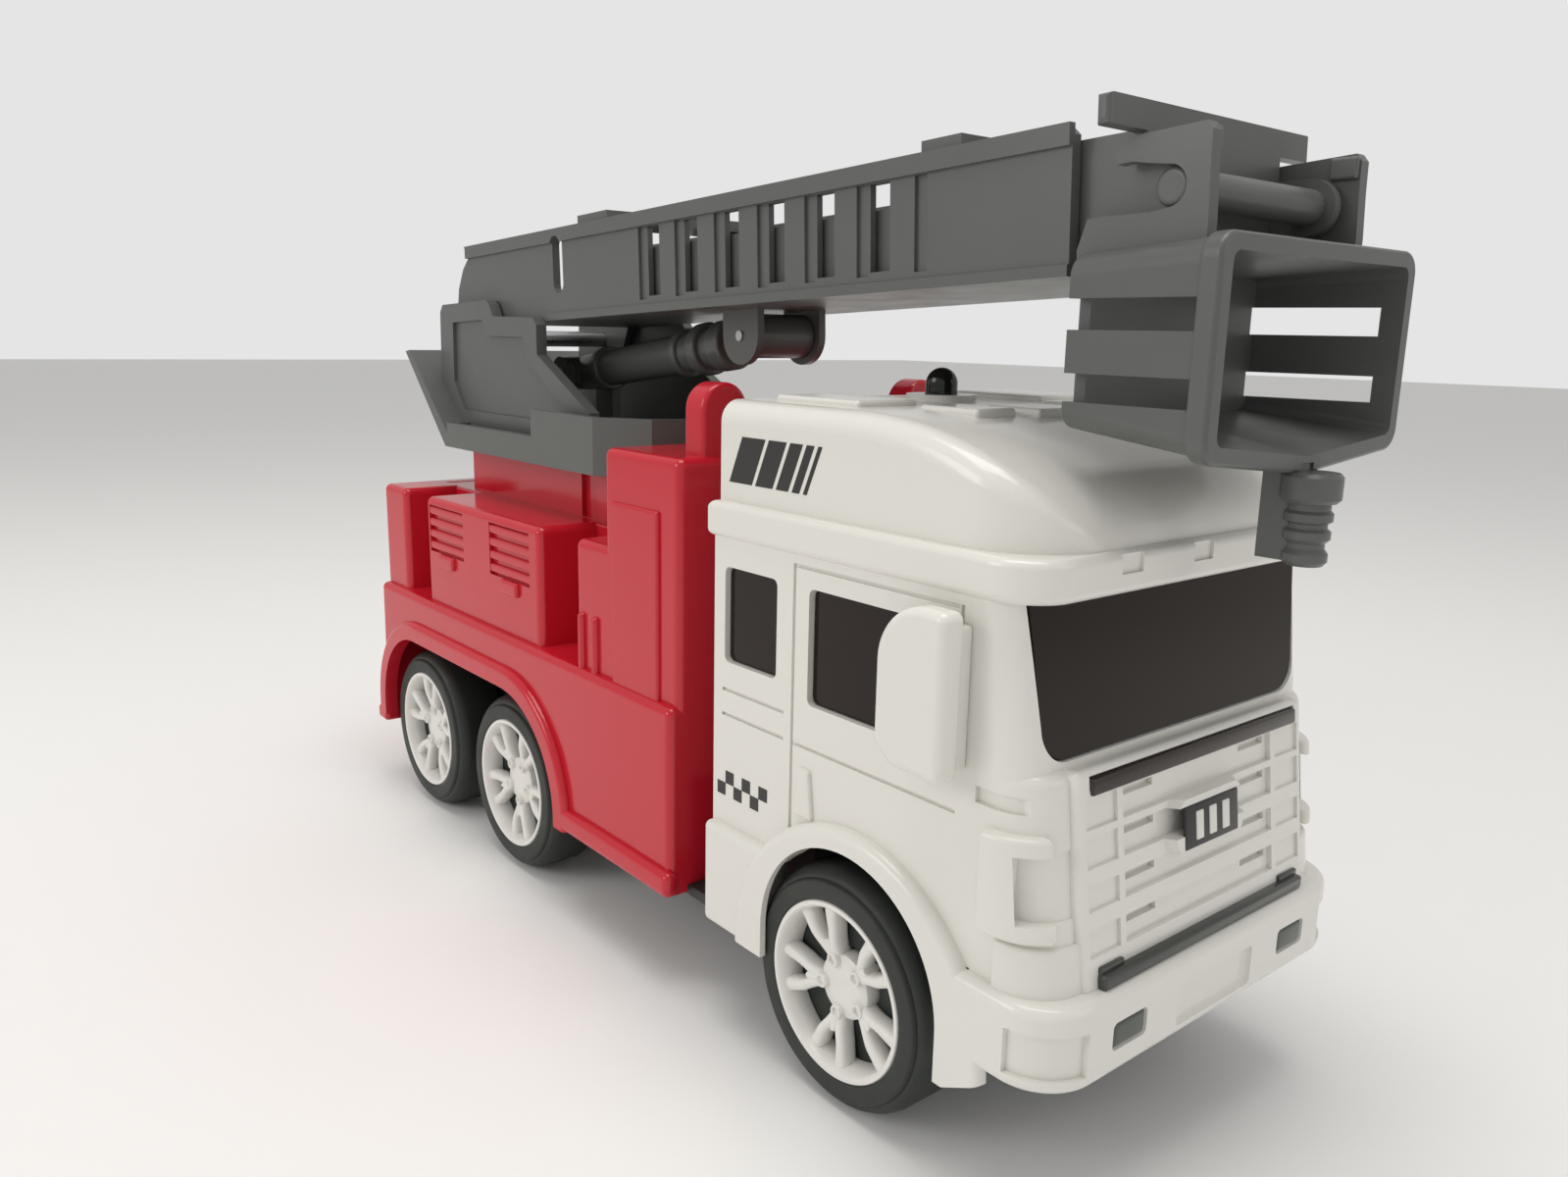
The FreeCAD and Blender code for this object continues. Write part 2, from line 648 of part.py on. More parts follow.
def build_cab():
    upper_box = box("cab_upper_box", ("cab_rear", -40, 30), (120, 40, 100))
    upper = common("cab_upper", [raked_block("cab_block", 102.6, size("cab_half"), 5.5, 36, 92), upper_box])
    grille = fillet(
        "cab_grille",
        common("cab_grille_block", [
            raked_block("cab_grille_lean", 104.2, size("cab_half"), 7, 20, 75),
            box("cab_grille_box", (60, -40, "cab_floor - 4"), (120, 40, "sill_z")),
        ]),
        1.8,
        lambda e: abs(e.CenterOfMass.z - size("sill_z")) < 1e-4 and e.CenterOfMass.x > 90,
    )
    belt = fillet(
        "cab_belt",
        plan_block("cab_belt_block", size("cab_rear") - 0.7, size("belt_front"), size("belt_half"), 8,
                   "belt_low", "belt_top"),
        1.3,
        lambda e: not upright(e),
    )
    roof_raw = roof_block("roof", 0, 90)
    roof = fillet("roof_soft", roof_raw, ROOF_ROUND, roof_rim)
    bumper = fillet(
        "bumper",
        plan_block(
            "bumper_block", size("bumper_rear"), size("bumper_front"), 38.4, 9, "bumper_low", "bumper_top"
        ),
        1.6,
        lambda e: not upright(e),
    )
    adds = [upper, grille, belt, roof, bumper]
    cuts = []
    add_grille(adds, cuts)
    for side_name, side in SIDES.items():
        add_cab_side(side_name, side, adds, cuts)
    adds.append(cylinder("dome_seat", 6, ("button_x", 0, 109), 3))
    adds.append(soft_box("roof_ridge", (66, -6, 105), (77, 6, 111.2), 0.6))
    outside = fuse("cab_outside", adds)
    rooms = [
        common("cab_room", [
            raked_block("cab_room_block", 100.8, size("cab_half") - PLASTIC_WALL, 3.7, 10, 92),
            box("cab_room_box", ("cab_rear + 1.8", -40, 5), (120, 40, 100)),
        ]),
        common("grille_room", [
            raked_block("grille_room_lean", 102.4, 34.3, 5.2, 5, 70),
            box("grille_room_box", (36.4, -40, 10), (120, 40, "sill_z - 1.8")),
        ]),
        plan_block("bumper_room", 80, 109.8, 36.6, 7.2, 10, "bumper_top - 1.8"),
        box("fender_room", ("cab_rear + 1.8", -36.2, 10), (95, 36.2, 36.2)),
        box("cab_plate_pass", (33, -33.9, 10), (37, 33.9, "plate_top + 0.1")),
        roof_block("roof_room", PLASTIC_WALL, 85),
        extrude("windscreen_cut", sketch("windscreen_sketch", [windscreen_outline(0)], "YZ"), "X", 92, 112),
        cylinder("button_hole", "button_radius + 0.3", ("button_x", 0, 100), 20),
    ]
    bosses, pilots = screw_bosses("cab", CAB_SCREWS, [24, 24, 19.6, 19.6])
    hollow = cut("cab_hollow", outside, rooms + cuts)
    board_posts = []
    for index, y in enumerate((-9, 9)):
        board_posts.append(cylinder("board_post_%d" % index, 2.2, ("button_x - 11", y, 102.25), 7))
    whole = fuse("cab_with_posts", [hollow] + bosses + board_posts)
    for index, y in enumerate((-9, 9)):
        pilots.append(cylinder("board_pilot_%d" % index, 0.7, ("button_x - 11", y, 101), 6))
    return node("cab_shell", cut("cab_shell", whole, pilots))


ROOF_ROUND = 3.6


def roof_rim(edge):
    """The long edge all round the deflector's top, except across its rear."""
    middle = edge.CenterOfMass
    bounds = edge.BoundBox
    if bounds.ZMax < 95:
        return False
    if upright(edge):
        return False
    across = bounds.YLength > 40
    return not across and middle.z > 96


def add_cab_side(side_name, side, adds, cuts):
    half = size("cab_half")
    fender_span = sorted([side * 30, side * size("fender_half")])
    adds.append(
        soft_box(
            "fender_" + side_name, ("cab_rear - 0.4", fender_span[0], "fender_low"),
            (60, fender_span[1], "fender_top"), 1.2, None,
        )
    )
    flare_base = min(side * 30, side * 38.4)
    flare = cylinder("flare_disc_" + side_name, "flare_radius", ("flare_centre", flare_base, 20), 8.4, "Y")
    adds.append(
        fillet("flare_" + side_name, flare, 1.6, lambda e: abs(e.CenterOfMass.y - side * 38.4) < 1e-4)
    )
    reach = sorted([side * 20.9, side * 45])
    room = sorted([side * 20.9, side * size("well_wall")])
    well = cylinder("well_" + side_name, "well_radius", ("well_centre", room[0], 20), room[1] - room[0], "Y")
    foot = box(
        "well_foot_" + side_name, ("well_centre - well_radius", room[0], 5),
        ("well_centre + well_radius", room[1], 20),
    )
    arch = cylinder(
        "arch_hole_" + side_name, "arch_radius", ("arch_centre", reach[0], "arch_height"),
        reach[1] - reach[0], "Y",
    )
    arch_foot = box(
        "arch_foot_" + side_name, ("arch_centre - arch_radius", reach[0], 5),
        ("arch_centre + arch_radius", reach[1], "arch_height"),
    )
    leg = size("leg_low")
    under_corners = [(30, -20), (112, -20), (112, 23.4), (100, 21.2), (93, leg), (30, leg)]
    under_sketch = sketch("flare_under_%s_outline" % side_name, [under_corners], "XZ")
    under = extrude("flare_under_" + side_name, under_sketch, "Y", reach[0], reach[1])
    skirt_under = box("skirt_under_" + side_name, (30, reach[0], -20), (60, reach[1], "fender_low"))
    cuts += [well, foot, arch, arch_foot, under, skirt_under]
    for light in SIDE_LIGHTS:
        cuts.append(side_window("%s_%s" % (light, side_name), light, side, 0, 40))
    groove_span = sorted([side * (half - 0.5), side * (half + 1)])
    seams = {
        "shut": ((55.3, 42), (56.0, 87)), "head": ((55.3, 86.4), (90, 87)),
        "front": ((90.2, 64), (90.9, 87)), "foot": ((55.3, 57.6), (90.9, 58.2)),
        "rear_panel": ((37, 62), (53.5, 62.6)), "panel_low": ((37, 57.6), (53.5, 58.2)),
    }
    for name, (low, high) in seams.items():
        near, far = (low[0], groove_span[0], low[1]), (high[0], groove_span[1], high[1])
        cuts.append(box("seam_%s_%s" % (name, side_name), near, far))
    pad_span = sorted([side * 15, side * 28])
    adds.append(soft_box("roof_pad_" + side_name, (40, pad_span[0], 108), (60, pad_span[1], 111.9), 0.7))
    pad_span = sorted([side * 10, side * 19])
    near, far = (64, pad_span[0], 105), (76, pad_span[1], 111.4)
    adds.append(soft_box("roof_pad_front_" + side_name, near, far, 0.7))
    pull_corners = [(57, 46.5), (61.6, 46.5), (60.6, 54.5), (58, 54.5)]
    pull_outline = sketch("pull_%s_outline" % side_name, [pull_corners], "XZ")
    pull_span = sorted([side * 35, side * 36.9])
    pull = extrude("pull_block_" + side_name, pull_outline, "Y", pull_span[0], pull_span[1])
    adds.append(fillet("door_pull_" + side_name, pull, 0.5, lambda e: True))
    add_headlamp(side_name, side, adds, cuts)
    add_bumper_recesses(side_name, side, cuts)


def corner_layer(name, column, outer, inner, low, high, side):
    """What lies between two columns (front, half, corner) inside a box on one side."""
    base = column(name + "_outer", outer[0], outer[1], outer[2], low[2], high[2])
    span = sorted([side * low[1], side * high[1]])
    room = box(name + "_room", (low[0], span[0], low[2]), (high[0], span[1], high[2]))
    layer = common(name + "_layer", [base, room])
    if inner is None:
        return layer
    core = column(name + "_inner", inner[0], inner[1], inner[2], low[2] - 1, high[2] + 1)
    return cut(name, layer, [core])


def bumper_column(name, front, half, corner, low, high):
    return plan_block(name, 60, front, half, corner, low, high)


BEYOND = (119, 44, 12)


def add_headlamp(side_name, side, adds, cuts):
    """A C-shaped lamp housing round the cab's corner, a wedge below and an indicator above."""
    name = "lamp_" + side_name
    near, far = (97, 32.4, 43.6), (112, 40, 58)
    housing = corner_layer(name, raked_block, (105.4, 38.2, 8.6), None, near, far, side)
    adds.append(fillet("lamp_housing_" + side_name, housing, 0.8, lambda e: True))
    name = "lamp_mouth_" + side_name
    near, far = (101.4, 29, 46.2), (115, 37.1, 55.6)
    cuts.append(corner_layer(name, raked_block, BEYOND, (103.9, 35.8, 6.7), near, far, side))
    name = "wedge_" + side_name
    near, far = (99.4, 25.4, 35), (112, 40, 42.8)
    wedge = corner_layer(name, raked_block, (104.9, 36.9, 7.6), None, near, far, side)
    adds.append(fillet("wedge_panel_" + side_name, wedge, 0.5, lambda e: True))
    name = "indicator_" + side_name
    near, far = (94.4, 34.2, 60.5), (112, 42, 62.9)
    cuts.append(corner_layer(name, raked_block, BEYOND, (103.5, 35.4, 6.4), near, far, side))


def add_bumper_recesses(side_name, side, cuts):
    """Shallow panels: one round each corner and a seat for each fog lamp."""
    deep = size("bumper_front") - 0.9
    near, far = (103.4, 30.4, 25.6), (118, 44, 32.2)
    name = "bumper_corner_" + side_name
    cuts.append(corner_layer(name, bumper_column, BEYOND, (deep, 37.5, 8.2), near, far, side))
    span = sorted([side * 17.4, side * 25.2])
    cuts.append(soft_box("fog_recess_" + side_name, (deep, span[0], 27.4), (deep + 7, span[1], 31.6), 0.85, None))


GRILLE_ROWS = ((58, 62.4), (52.7, 57), (46.8, 50.4), (40.4, 44.4))
GRILLE_FACE = 105.6
BADGE_Z = 53.8


def badge_section(name, x, half_across, half_up, corner):
    """A rounded rectangle on the grille's middle, leaning back with it."""
    middle = BADGE_Z
    lean = corner * (1 - math.sqrt(0.5))
    outline = []
    for across, up in ((1, 1), (-1, 1), (-1, -1), (1, -1)):
        arc = [
            (across * half_across, middle + up * (half_up - corner)),
            (across * (half_across - lean), middle + up * (half_up - lean)),
            (across * (half_across - corner), middle + up * half_up),
        ]
        outline.append(arc if across * up > 0 else arc[::-1])
    item = sketch(name, [outline], "YZ")
    tilt = FreeCAD.Rotation(V(0, -1, 0), math.degrees(math.atan(RAKE)))
    item.Placement = FreeCAD.Placement(V(x, 0, 0), tilt, V(0, 0, middle)) * item.Placement
    return item


def leaning_recess(name, blocks, depth):
    """Blocks cut back to an even depth in the leaning face of the grille."""
    core = raked_block(name + "_core", GRILLE_FACE - depth, 40, 2, 25, 75)
    return cut(name, fuse(name + "_blocks", blocks), [core])


def add_grille(adds, cuts):
    """The raised grille: four rows of recesses, a plain badge and seats for two trim strips."""
    panel = common("grille_panel_block", [
        raked_block("grille_panel_lean", GRILLE_FACE, 40, 2, 25, 75),
        box("grille_panel_box", (98, -28.9, 35), (120, 28.9, 66)),
    ])
    adds.append(fillet("grille_panel", panel, 1.2, lambda e: True))
    wide = [box("upper_strip_seat", (100, -26.4, 63.4), (120, 26.4, 65.3))]
    ends = []
    slots = []
    for row, (low, high) in enumerate(GRILLE_ROWS):
        wide.append(box("grille_row_%d" % row, (100, -19.2, low), (120, 19.2, high)))
        for side_name, side in SIDES.items():
            name = "%d_%s" % (row, side_name)
            outer = sorted([side * 20.5, side * 27.3])
            ends.append(box("grille_end_" + name, (100, outer[0], low), (120, outer[1], high)))
            slot = sorted([side * 11.2, side * 18.2])
            slots.append(box("grille_slot_" + name, (100, slot[0], high - 1.7), (120, slot[1], high - 0.6)))
    cuts.append(leaning_recess("grille_rows", wide, 0.8))
    cuts.append(leaning_recess("grille_ends", ends, 0.5))
    cuts.append(leaning_recess("grille_slots", slots, 1.7))
    middle = GRILLE_FACE + (64 - BADGE_Z) * RAKE
    adds.append(
        loft("badge_boss", [
            badge_section("badge_foot", middle - 1.2, 10.6, 5.4, 4.4),
            badge_section("badge_face", middle + 1.5, 8.8, 4.5, 3.6),
        ])
    )
    for index, y in enumerate((-17, 0, 17)):
        cuts.append(box("belt_marker_%d" % index, (102.7, y - 2.35, 91.3), (106, y + 2.35, 94)))
    deep = size("bumper_front") - 0.9
    cuts.append(soft_box("bumper_centre", (deep, -9.8, 25.4), (deep + 7, 9.8, 31.8), 0.85, None))


def build_window_insert():
    """One smoked moulding: a ring inside the cab, thicker where it fills the windows."""
    outer = raked_block("glazing_outer", 100.75, 34.25, 3.65, 62.6, 90)
    inner = raked_block("glazing_inner", 99.45, 32.95, 2.4, 60, 95)
    pane_sketch = sketch("windscreen_pane_sketch", [windscreen_outline(0.25)], "YZ")
    panes = [
        common("windscreen_pane", [
            raked_block("windscreen_pane_lean", 102.2, 40, 3, 50, 95),
            extrude("windscreen_pane_block", pane_sketch, "X", 97, 112),
        ]),
    ]
    for side_name, side in SIDES.items():
        for light in SIDE_LIGHTS:
            panes.append(side_window("%s_pane_%s" % (light, side_name), light, side, 0.25, 35.1))
    ring = cut("glazing_ring", fuse("glazing_solid", [outer] + panes), [inner])
    keep = box("glazing_keep", ("cab_rear + 1.9", -40, 62.6), (120, 40, 90))
    return node("window_insert", common("window_insert", [ring, keep]))


def build_mirrors():
    for side_name, side in SIDES.items():
        name = "mirror_" + side_name
        outline = [
            (80.4, 66.5), [(80.4, 78.6), (82.9, 84.5), (88.8, 87)], (93.4, 87), (93.4, 63.6), (84, 63.6),
        ]
        span = sorted([side * 38.2, side * 42.6])
        plate = extrude(name + "_plate", sketch(name + "_outline", [outline], "XZ"), "Y", span[0], span[1])
        pad = fillet(name + "_pad", plate, 1.5, lambda e: True)
        stalk_span = sorted([side * size("cab_half"), side * 40])
        stalk = soft_box(name + "_stalk", (86.6, stalk_span[0], 64.6), (92.6, stalk_span[1], 84.6), 0.5, None)
        node(name, fuse(name, [pad, stalk]))


def build_button():
    top = size("button_top")
    radius = size("button_radius")
    dome = [(0, top), (radius * 0.707, top - radius * 0.293), (radius, top - radius)]
    outline = [dome, (radius, 108.2), (4.4, 108.2), (4.4, 107.2), (1.2, 107.2), (1.2, 106.1), (0, 106.1)]
    turned = revolve("siren_button", sketch("button_profile", [outline], "XZ"), "Z", V(0, 0, 0))
    place(turned, "button_x", 0, 0)
    node("siren_button", turned)
    coil_outline = [(2.2, 102.3), (2.8, 102.3), (2.8, 107.1), (2.2, 107.1)]
    coil = revolve("button_spring", sketch("spring_profile", [coil_outline], "XZ"), "Z", V(0, 0, 0))
    place(coil, "button_x", 0, 0)
    node("button_spring", coil)
    board = box("board_plate", ("button_x - 14", -12, 101), ("button_x + 14", 12, 102.2))
    holes = [cylinder("board_hole_%d" % i, 0.9, ("button_x - 11", y, 100), 4) for i, y in enumerate((-9, 9))]
    chip = box("board_chip", ("button_x + 5", -3, 102.2), ("button_x + 10", 3, 103.6))
    cap = cylinder("board_cap", 1.6, ("button_x - 8", 0, 102.2), 4)
    node("sound_board", cut("sound_board", fuse("board_solid", [board, chip, cap]), holes))
    body = box("switch_body", ("button_x - 1.45", -1.45, 102.25), ("button_x + 1.45", 1.45, 103.9))
    stud = cylinder("switch_stud", 1, ("button_x", 0, 103.9), 0.8)
    node("tact_switch", fuse("tact_switch", [body, stud]))
    screws = []
    for index, y in enumerate((-9, 9)):
        shank = cylinder("board_screw_shank_%d" % index, 0.7, ("button_x - 11", y, 101), 5)
        head = cylinder("board_screw_head_%d" % index, 1.5, ("button_x - 11", y, 100), 1)
        screws.append(fuse("board_screw_%d" % index, [shank, head]))
    group = doc.addObject("Part::Compound", "board_screws")
    group.Links = screws
    node("board_screws", group)


def build_cells():
    speaker = cylinder("speaker_can", 9.5, (52, 0, "plate_top + 0.05"), 5)
    cone = doc.addObject("Part::Cone", "speaker_cone")
    bind(cone, Radius1=4, Radius2=8.6, Height=3)
    place(cone, 52, 0, 22.1)
    node("speaker", cut("speaker", speaker, [cone]))
    cells = doc.addObject("Part::Compound", "button_cells")
    stack = []
    for index, x in enumerate((-10.9, 1.2, 13.3)):
        raw = cylinder("cell_%d_can" % index, 5.8, (x, 0, 19.4), 5.2)
        stack.append(fillet("cell_%d" % index, raw, 0.5, lambda e: True))
    cells.Links = stack
    node("button_cells", cells)
    strip = box("contact_strip", (-16.8, -3, 24.7), (19.2, 3, 25))
    node("battery_contact", strip)
    cover = soft_box("cover_plate", (-16.9, -6.2, "plate_low - 0.4"), (19.3, 6.2, 19.2), 0.3, "top")
    hole = cylinder("cover_hole", 1.1, (7.2, 0, 10), 20)
    node("battery_cover", cut("battery_cover", cover, [hole]))
    shank = cylinder("cover_screw_shank", 1.1, (7.2, 0, 17.4), 1.8)
    head = cylinder("cover_screw_head", 2.2, (7.2, 0, 16.7), 0.85)
    slot = box("cover_screw_slot", (5, -0.3, 16.5), (9.4, 0.3, 17.1))
    node("battery_cover_screw", cut("battery_cover_screw", fuse("cover_screw", [shank, head]), [slot]))


build_cab()
build_window_insert()
build_mirrors()
build_button()
build_cells()

# ---------------------------------------------------------------- turntable

TRAY_BEND = -48


def tray_outline(inset):
    half = size("tray_half") - inset
    back = [(-93 + inset, -half), (-21 - 0.4 * inset, -half), (-11 - 0.9 * inset, -19 + 0.4 * inset)]
    nose = [(-7 - inset, -8), (-7 - inset, 8)]
    fore = [(-11 - 0.9 * inset, 19 - 0.4 * inset), (-21 - 0.4 * inset, half), (-93 + inset, half)]
    return back + nose + fore


def cheek_outline():
    return [
        (-95, 93), (-107.3, 106), (-106.6, 125.2), (-105, 127), (-80, 128), (-78.2, 127), (-76.4, 124.2),
        (-56.4, 124), (-54.6, 122.4), (-54.6, 115.8), (-31.6, 104), (-31.6, 93),
    ]


def cheek_recess():
    return [
        (-99.5, 108), (-99.2, 122.6), (-82.5, 123.4), (-79.4, 119.6), (-62, 119.6), (-60.4, 118),
        (-60.4, 114.6), (-44, 105.6), (-46, 101), (-94, 101),
    ]


def build_turntable():
    plan = sketch("tray_plan", [tray_outline(0)])
    floor = extrude("tray_floor_plate", plan, "Z", "tray_floor", "tray_floor + 2")
    rim_plan = sketch("rim_plan", [tray_outline(0), tray_outline(2)])
    rim_block = extrude("rim_block", rim_plan, "Z", "tray_floor", "tray_rim")
    rear_cut = box("rim_step", (-120, -40, "tray_lip"), (TRAY_BEND, 40, "tray_rim + 5"))
    rim = cut("rim", rim_block, [rear_cut])
    flare_profile = [(-90, 92), (-94.2, 92), (-117.2, 115), (-114.6, 115.4), (-91.6, 94.2), (-90, 94.2)]
    flare_sketch = sketch("flare_profile", [flare_profile], "XZ")
    flare = extrude("tray_flare", flare_sketch, "Y", "-tray_half", "tray_half")
    adds = [floor, rim, flare]
    cuts = []
    for side_name, side in SIDES.items():
        inner = size("cheek_inner")
        outer = inner + size("cheek_wall")
        span = sorted([side * inner, side * outer])
        plate = extrude(
            "cheek_plate_" + side_name, sketch("cheek_" + side_name + "_outline", [cheek_outline()], "XZ"),
            "Y", span[0], span[1],
        )
        adds.append(plate)
        recess = sorted([side * (outer - 0.9), side * (outer + 2)])
        cuts.append(
            extrude(
                "cheek_recess_" + side_name, sketch("recess_%s_outline" % side_name, [cheek_recess()], "XZ"),
                "Y", recess[0], recess[1],
            )
        )
        ear_span = sorted([side * 5.1, side * 7.3])
        ear_low, ear_high = ("foot_x - 4", ear_span[0], 93), ("foot_x + 4", ear_span[1], "foot_z")
        ear = box("ear_block_" + side_name, ear_low, ear_high)
        tip = cylinder("ear_tip_" + side_name, 4, ("foot_x", ear_span[0], "foot_z"), 2.2, "Y")
        adds += [ear, tip]
    boss = cylinder("swivel_boss", "swivel_bore", ("swivel_x", 0, 77.8), "tray_floor - 77")
    adds.append(boss)
    solid = fuse("turntable_solid", adds)
    cuts.append(cylinder("boom_pin_bore", "pin_radius", ("pivot_x", -20.2, "pivot_z"), 40.4, "Y"))
    cuts.append(cylinder("foot_pin_bore", 1.5, ("foot_x", -10, "foot_z"), 20, "Y"))
    cuts.append(cylinder("swivel_pilot", "screw_radius", ("swivel_x", 0, 70), 18))
    node("turntable", cut("turntable", solid, cuts))
    washer = cut(
        "swivel_washer",
        cylinder("washer_disc", "swivel_bore + 2", ("swivel_x", 0, 76.3), 1.4),
        [cylinder("washer_hole", "screw_radius", ("swivel_x", 0, 70), 12)],
    )
    node("swivel_washer", washer)
    head = cylinder("swivel_screw_head", 3, ("swivel_x", 0, 74.5), 1.8)
    shank = cylinder("swivel_screw_shank", "screw_radius", ("swivel_x", 0, 76), 10)
    node("swivel_screw", fuse("swivel_screw", [head, shank]))
    pin = cylinder("boom_pivot_pin", "pin_radius", ("pivot_x", -20.1, "pivot_z"), 40.2, "Y")
    node("boom_pivot_pin", pin)
    node("cylinder_pin", cylinder("cylinder_pin", 1.5, ("foot_x", -7.3, "foot_z"), 14.6, "Y"))


# ---------------------------------------------------------------- ladder boom


def local(points):
    """Boom points (along, up) from the pivot, as points of the level boom."""
    return [(size("pivot_x") + along, size("pivot_z") + up) for along, up in points]


def tip_up(item):
    """Turn a level boom part about the pivot to where it rests."""
    pivot = V(size("pivot_x"), 0, size("pivot_z"))
    turn = FreeCAD.Rotation(V(0, -1, 0), size("boom_pitch"))
    item.Placement = FreeCAD.Placement(pivot - turn.multVec(pivot), turn)
    return item


def boom_box(name, low, high):
    """A box in boom coordinates: along, across, up."""
    x = size("pivot_x")
    z = size("pivot_z")
    return box(name, (low[0] + x, low[1], low[2] + z), (high[0] + x, high[1], high[2] + z))


def wall_pair(name, outline, inner, outer):
    plates = []
    for side_name, side in SIDES.items():
        span = sorted([side * inner, side * outer])
        label = "%s_%s" % (name, side_name)
        plates.append(extrude(label, sketch(label + "_outline", [outline], "XZ"), "Y", span[0], span[1]))
    return plates


def build_boom_outer():
    low = size("boom_low")
    high = size("boom_high")
    half = size("boom_half")
    wall = size("boom_wall")
    nose = size("boom_nose")
    outline = local([
        (-7, high), (-3.6, high - 2), (-8, 17), (-11, 12.5), (-12.4, 7), (-12, 0), (-9, -6), (-4, -8),
        (4, -8), (9, -5), (13, low), (nose, low), (nose, high - 1.4), (nose - 1.4, high),
    ])
    walls = wall_pair("boom_wall", outline, half - wall, half)
    floor = boom_box("boom_floor", (12, -half, low), (nose, half, low + 1.6))
    adds = walls + [floor]
    cuts = []
    for side_name, side in SIDES.items():
        rim_span = sorted([side * (half - 0.5), side * (half + 0.7)])
        near, far = (-5, rim_span[0], high - 2.9), (nose, rim_span[1], high)
        adds.append(boom_box("boom_rim_" + side_name, near, far))
        foot_span = sorted([side * (half - 0.5), side * (half + 0.4)])
        near, far = (14, foot_span[0], low), (nose, foot_span[1], low + 1.6)
        adds.append(boom_box("boom_foot_" + side_name, near, far))
        lug_span = sorted([side * size("lug_inner"), side * (size("lug_inner") + size("lug_wall"))])
        lug = LUG_LOCAL
        adds.append(
            cylinder(
                "lug_disc_" + side_name, 5.6,
                (size("pivot_x") + lug[0], lug_span[0], size("pivot_z") + lug[1]), "lug_wall", "Y",
            )
        )
        near, far = (lug[0] - 5.6, lug_span[0], lug[1]), (lug[0] + 5.6, lug_span[1], low + 1)
        adds.append(boom_box("lug_web_" + side_name, near, far))
        for index in range(7):
            start = size("slot_first") - 5.2 + index * size("slot_pitch")
            band_span = sorted([side * (half - 0.6), side * (half + 0.3)])
            cuts.append(
                boom_box(
                    "band_%s_%d" % (side_name, index), (start, band_span[0], low + 2.6),
                    (start + 2.6, band_span[1], high - 3),
                )
            )
    for index in range(6):
        start = size("slot_first") - 2.6 + index * size("slot_pitch")
        cuts.append(
            boom_box("slot_%d" % index, (start, -30, low + 3.2), (start + size("slot_width"), 30, high - 3.1))
        )
    tall = boom_box("tall_slot_block", (38.8, -30, 8.6), (43.2, 30, high - 1.6))
    cuts.append(fillet("tall_slot", tall, 2, lambda e: e.BoundBox.YLength > 5))
    for index, (start, end) in enumerate(((50.5, 62.5), (153, 161))):
        adds.append(boom_box("strap_%d" % index, (start, -half, high - 0.6), (end, half, high + 1.7)))
    solid = fuse("boom_outer_solid", adds)
    pivot_bore = cylinder("pivot_bore", "pin_radius + 0.06", ("pivot_x", -30, "pivot_z"), 60, "Y")
    lug_bore = cylinder(
        "lug_bore", 1, (size("pivot_x") + LUG_LOCAL[0], -12, size("pivot_z") + LUG_LOCAL[1]), 24, "Y"
    )
    node("boom_outer", tip_up(cut("boom_outer", solid, cuts + [pivot_bore, lug_bore])))
    pin = cylinder(
        "ram_pin_rod", 1, (size("pivot_x") + LUG_LOCAL[0], -9, size("pivot_z") + LUG_LOCAL[1]), 18, "Y"
    )
    node("ram_pin", tip_up(common("ram_pin", [pin, boom_box("ram_pin_room", (80, -10, -20), (110, 10, 20))])))


def to_boom(x, z):
    """A point of the truck in boom coordinates."""
    turn = math.radians(size("boom_pitch"))
    dx = x - size("pivot_x")
    dz = z - size("pivot_z")
    return (dx * math.cos(turn) + dz * math.sin(turn), dz * math.cos(turn) - dx * math.sin(turn))


LUG_LOCAL = to_boom(size("lug_x"), size("lug_z"))


def build_boom_inner():
    half = size("inner_half")
    wall = size("inner_wall")
    tail = size("inner_tail")
    hinge = to_boom(size("hinge_x"), size("hinge_z"))
    nose = [(hinge[0], hinge[1] - 3.9), (hinge[0] + 3.9, hinge[1]), (hinge[0], hinge[1] + 3.9)]
    nose_arc = [local([p])[0] for p in nose]
    end = size("inner_nose")
    outline = local([(tail, 4.6), (182.7, 4.6), (184.6, 8.9), (191.2, 8.6)]) + [nose_arc] + local(
        [(end, hinge[1] + 4.2), (end, 20.4), (150, 20.4), (146, 15.6), (tail, 15.6)]
    )
    walls = wall_pair("inner_wall_plate", outline, half - wall, half)
    floor = boom_box("inner_floor", (tail, -half, 4.6), (182.7, half, 6.2))
    web = boom_box("inner_end_web", (end - 2.4, -half, 8.9), (end, half, 21))
    crossbar = boom_box("inner_crossbar_block", (end - 2.1, -24.3, 20.1), (end, 24.3, 23.8))
    plate = fillet("inner_crossbar", crossbar, 0.8, lambda e: e.BoundBox.YLength < 40)
    where = (size("pivot_x") + hinge[0], -18.8, size("pivot_z") + hinge[1])
    rod = fillet("hinge_rod", cylinder("hinge_rod_raw", "rod_radius", where, 37.6, "Y"), 0.8, lambda e: True)
    stops = []
    for side_name, side in SIDES.items():
        span = sorted([side * (half - 0.4), side * (half + 0.3)])
        stops.append(boom_box("inner_stop_" + side_name, (tail, span[0], 8), (tail + 3, span[1], 12)))
    node("boom_inner", tip_up(fuse("boom_inner", walls + [floor, web, plate, rod] + stops)))


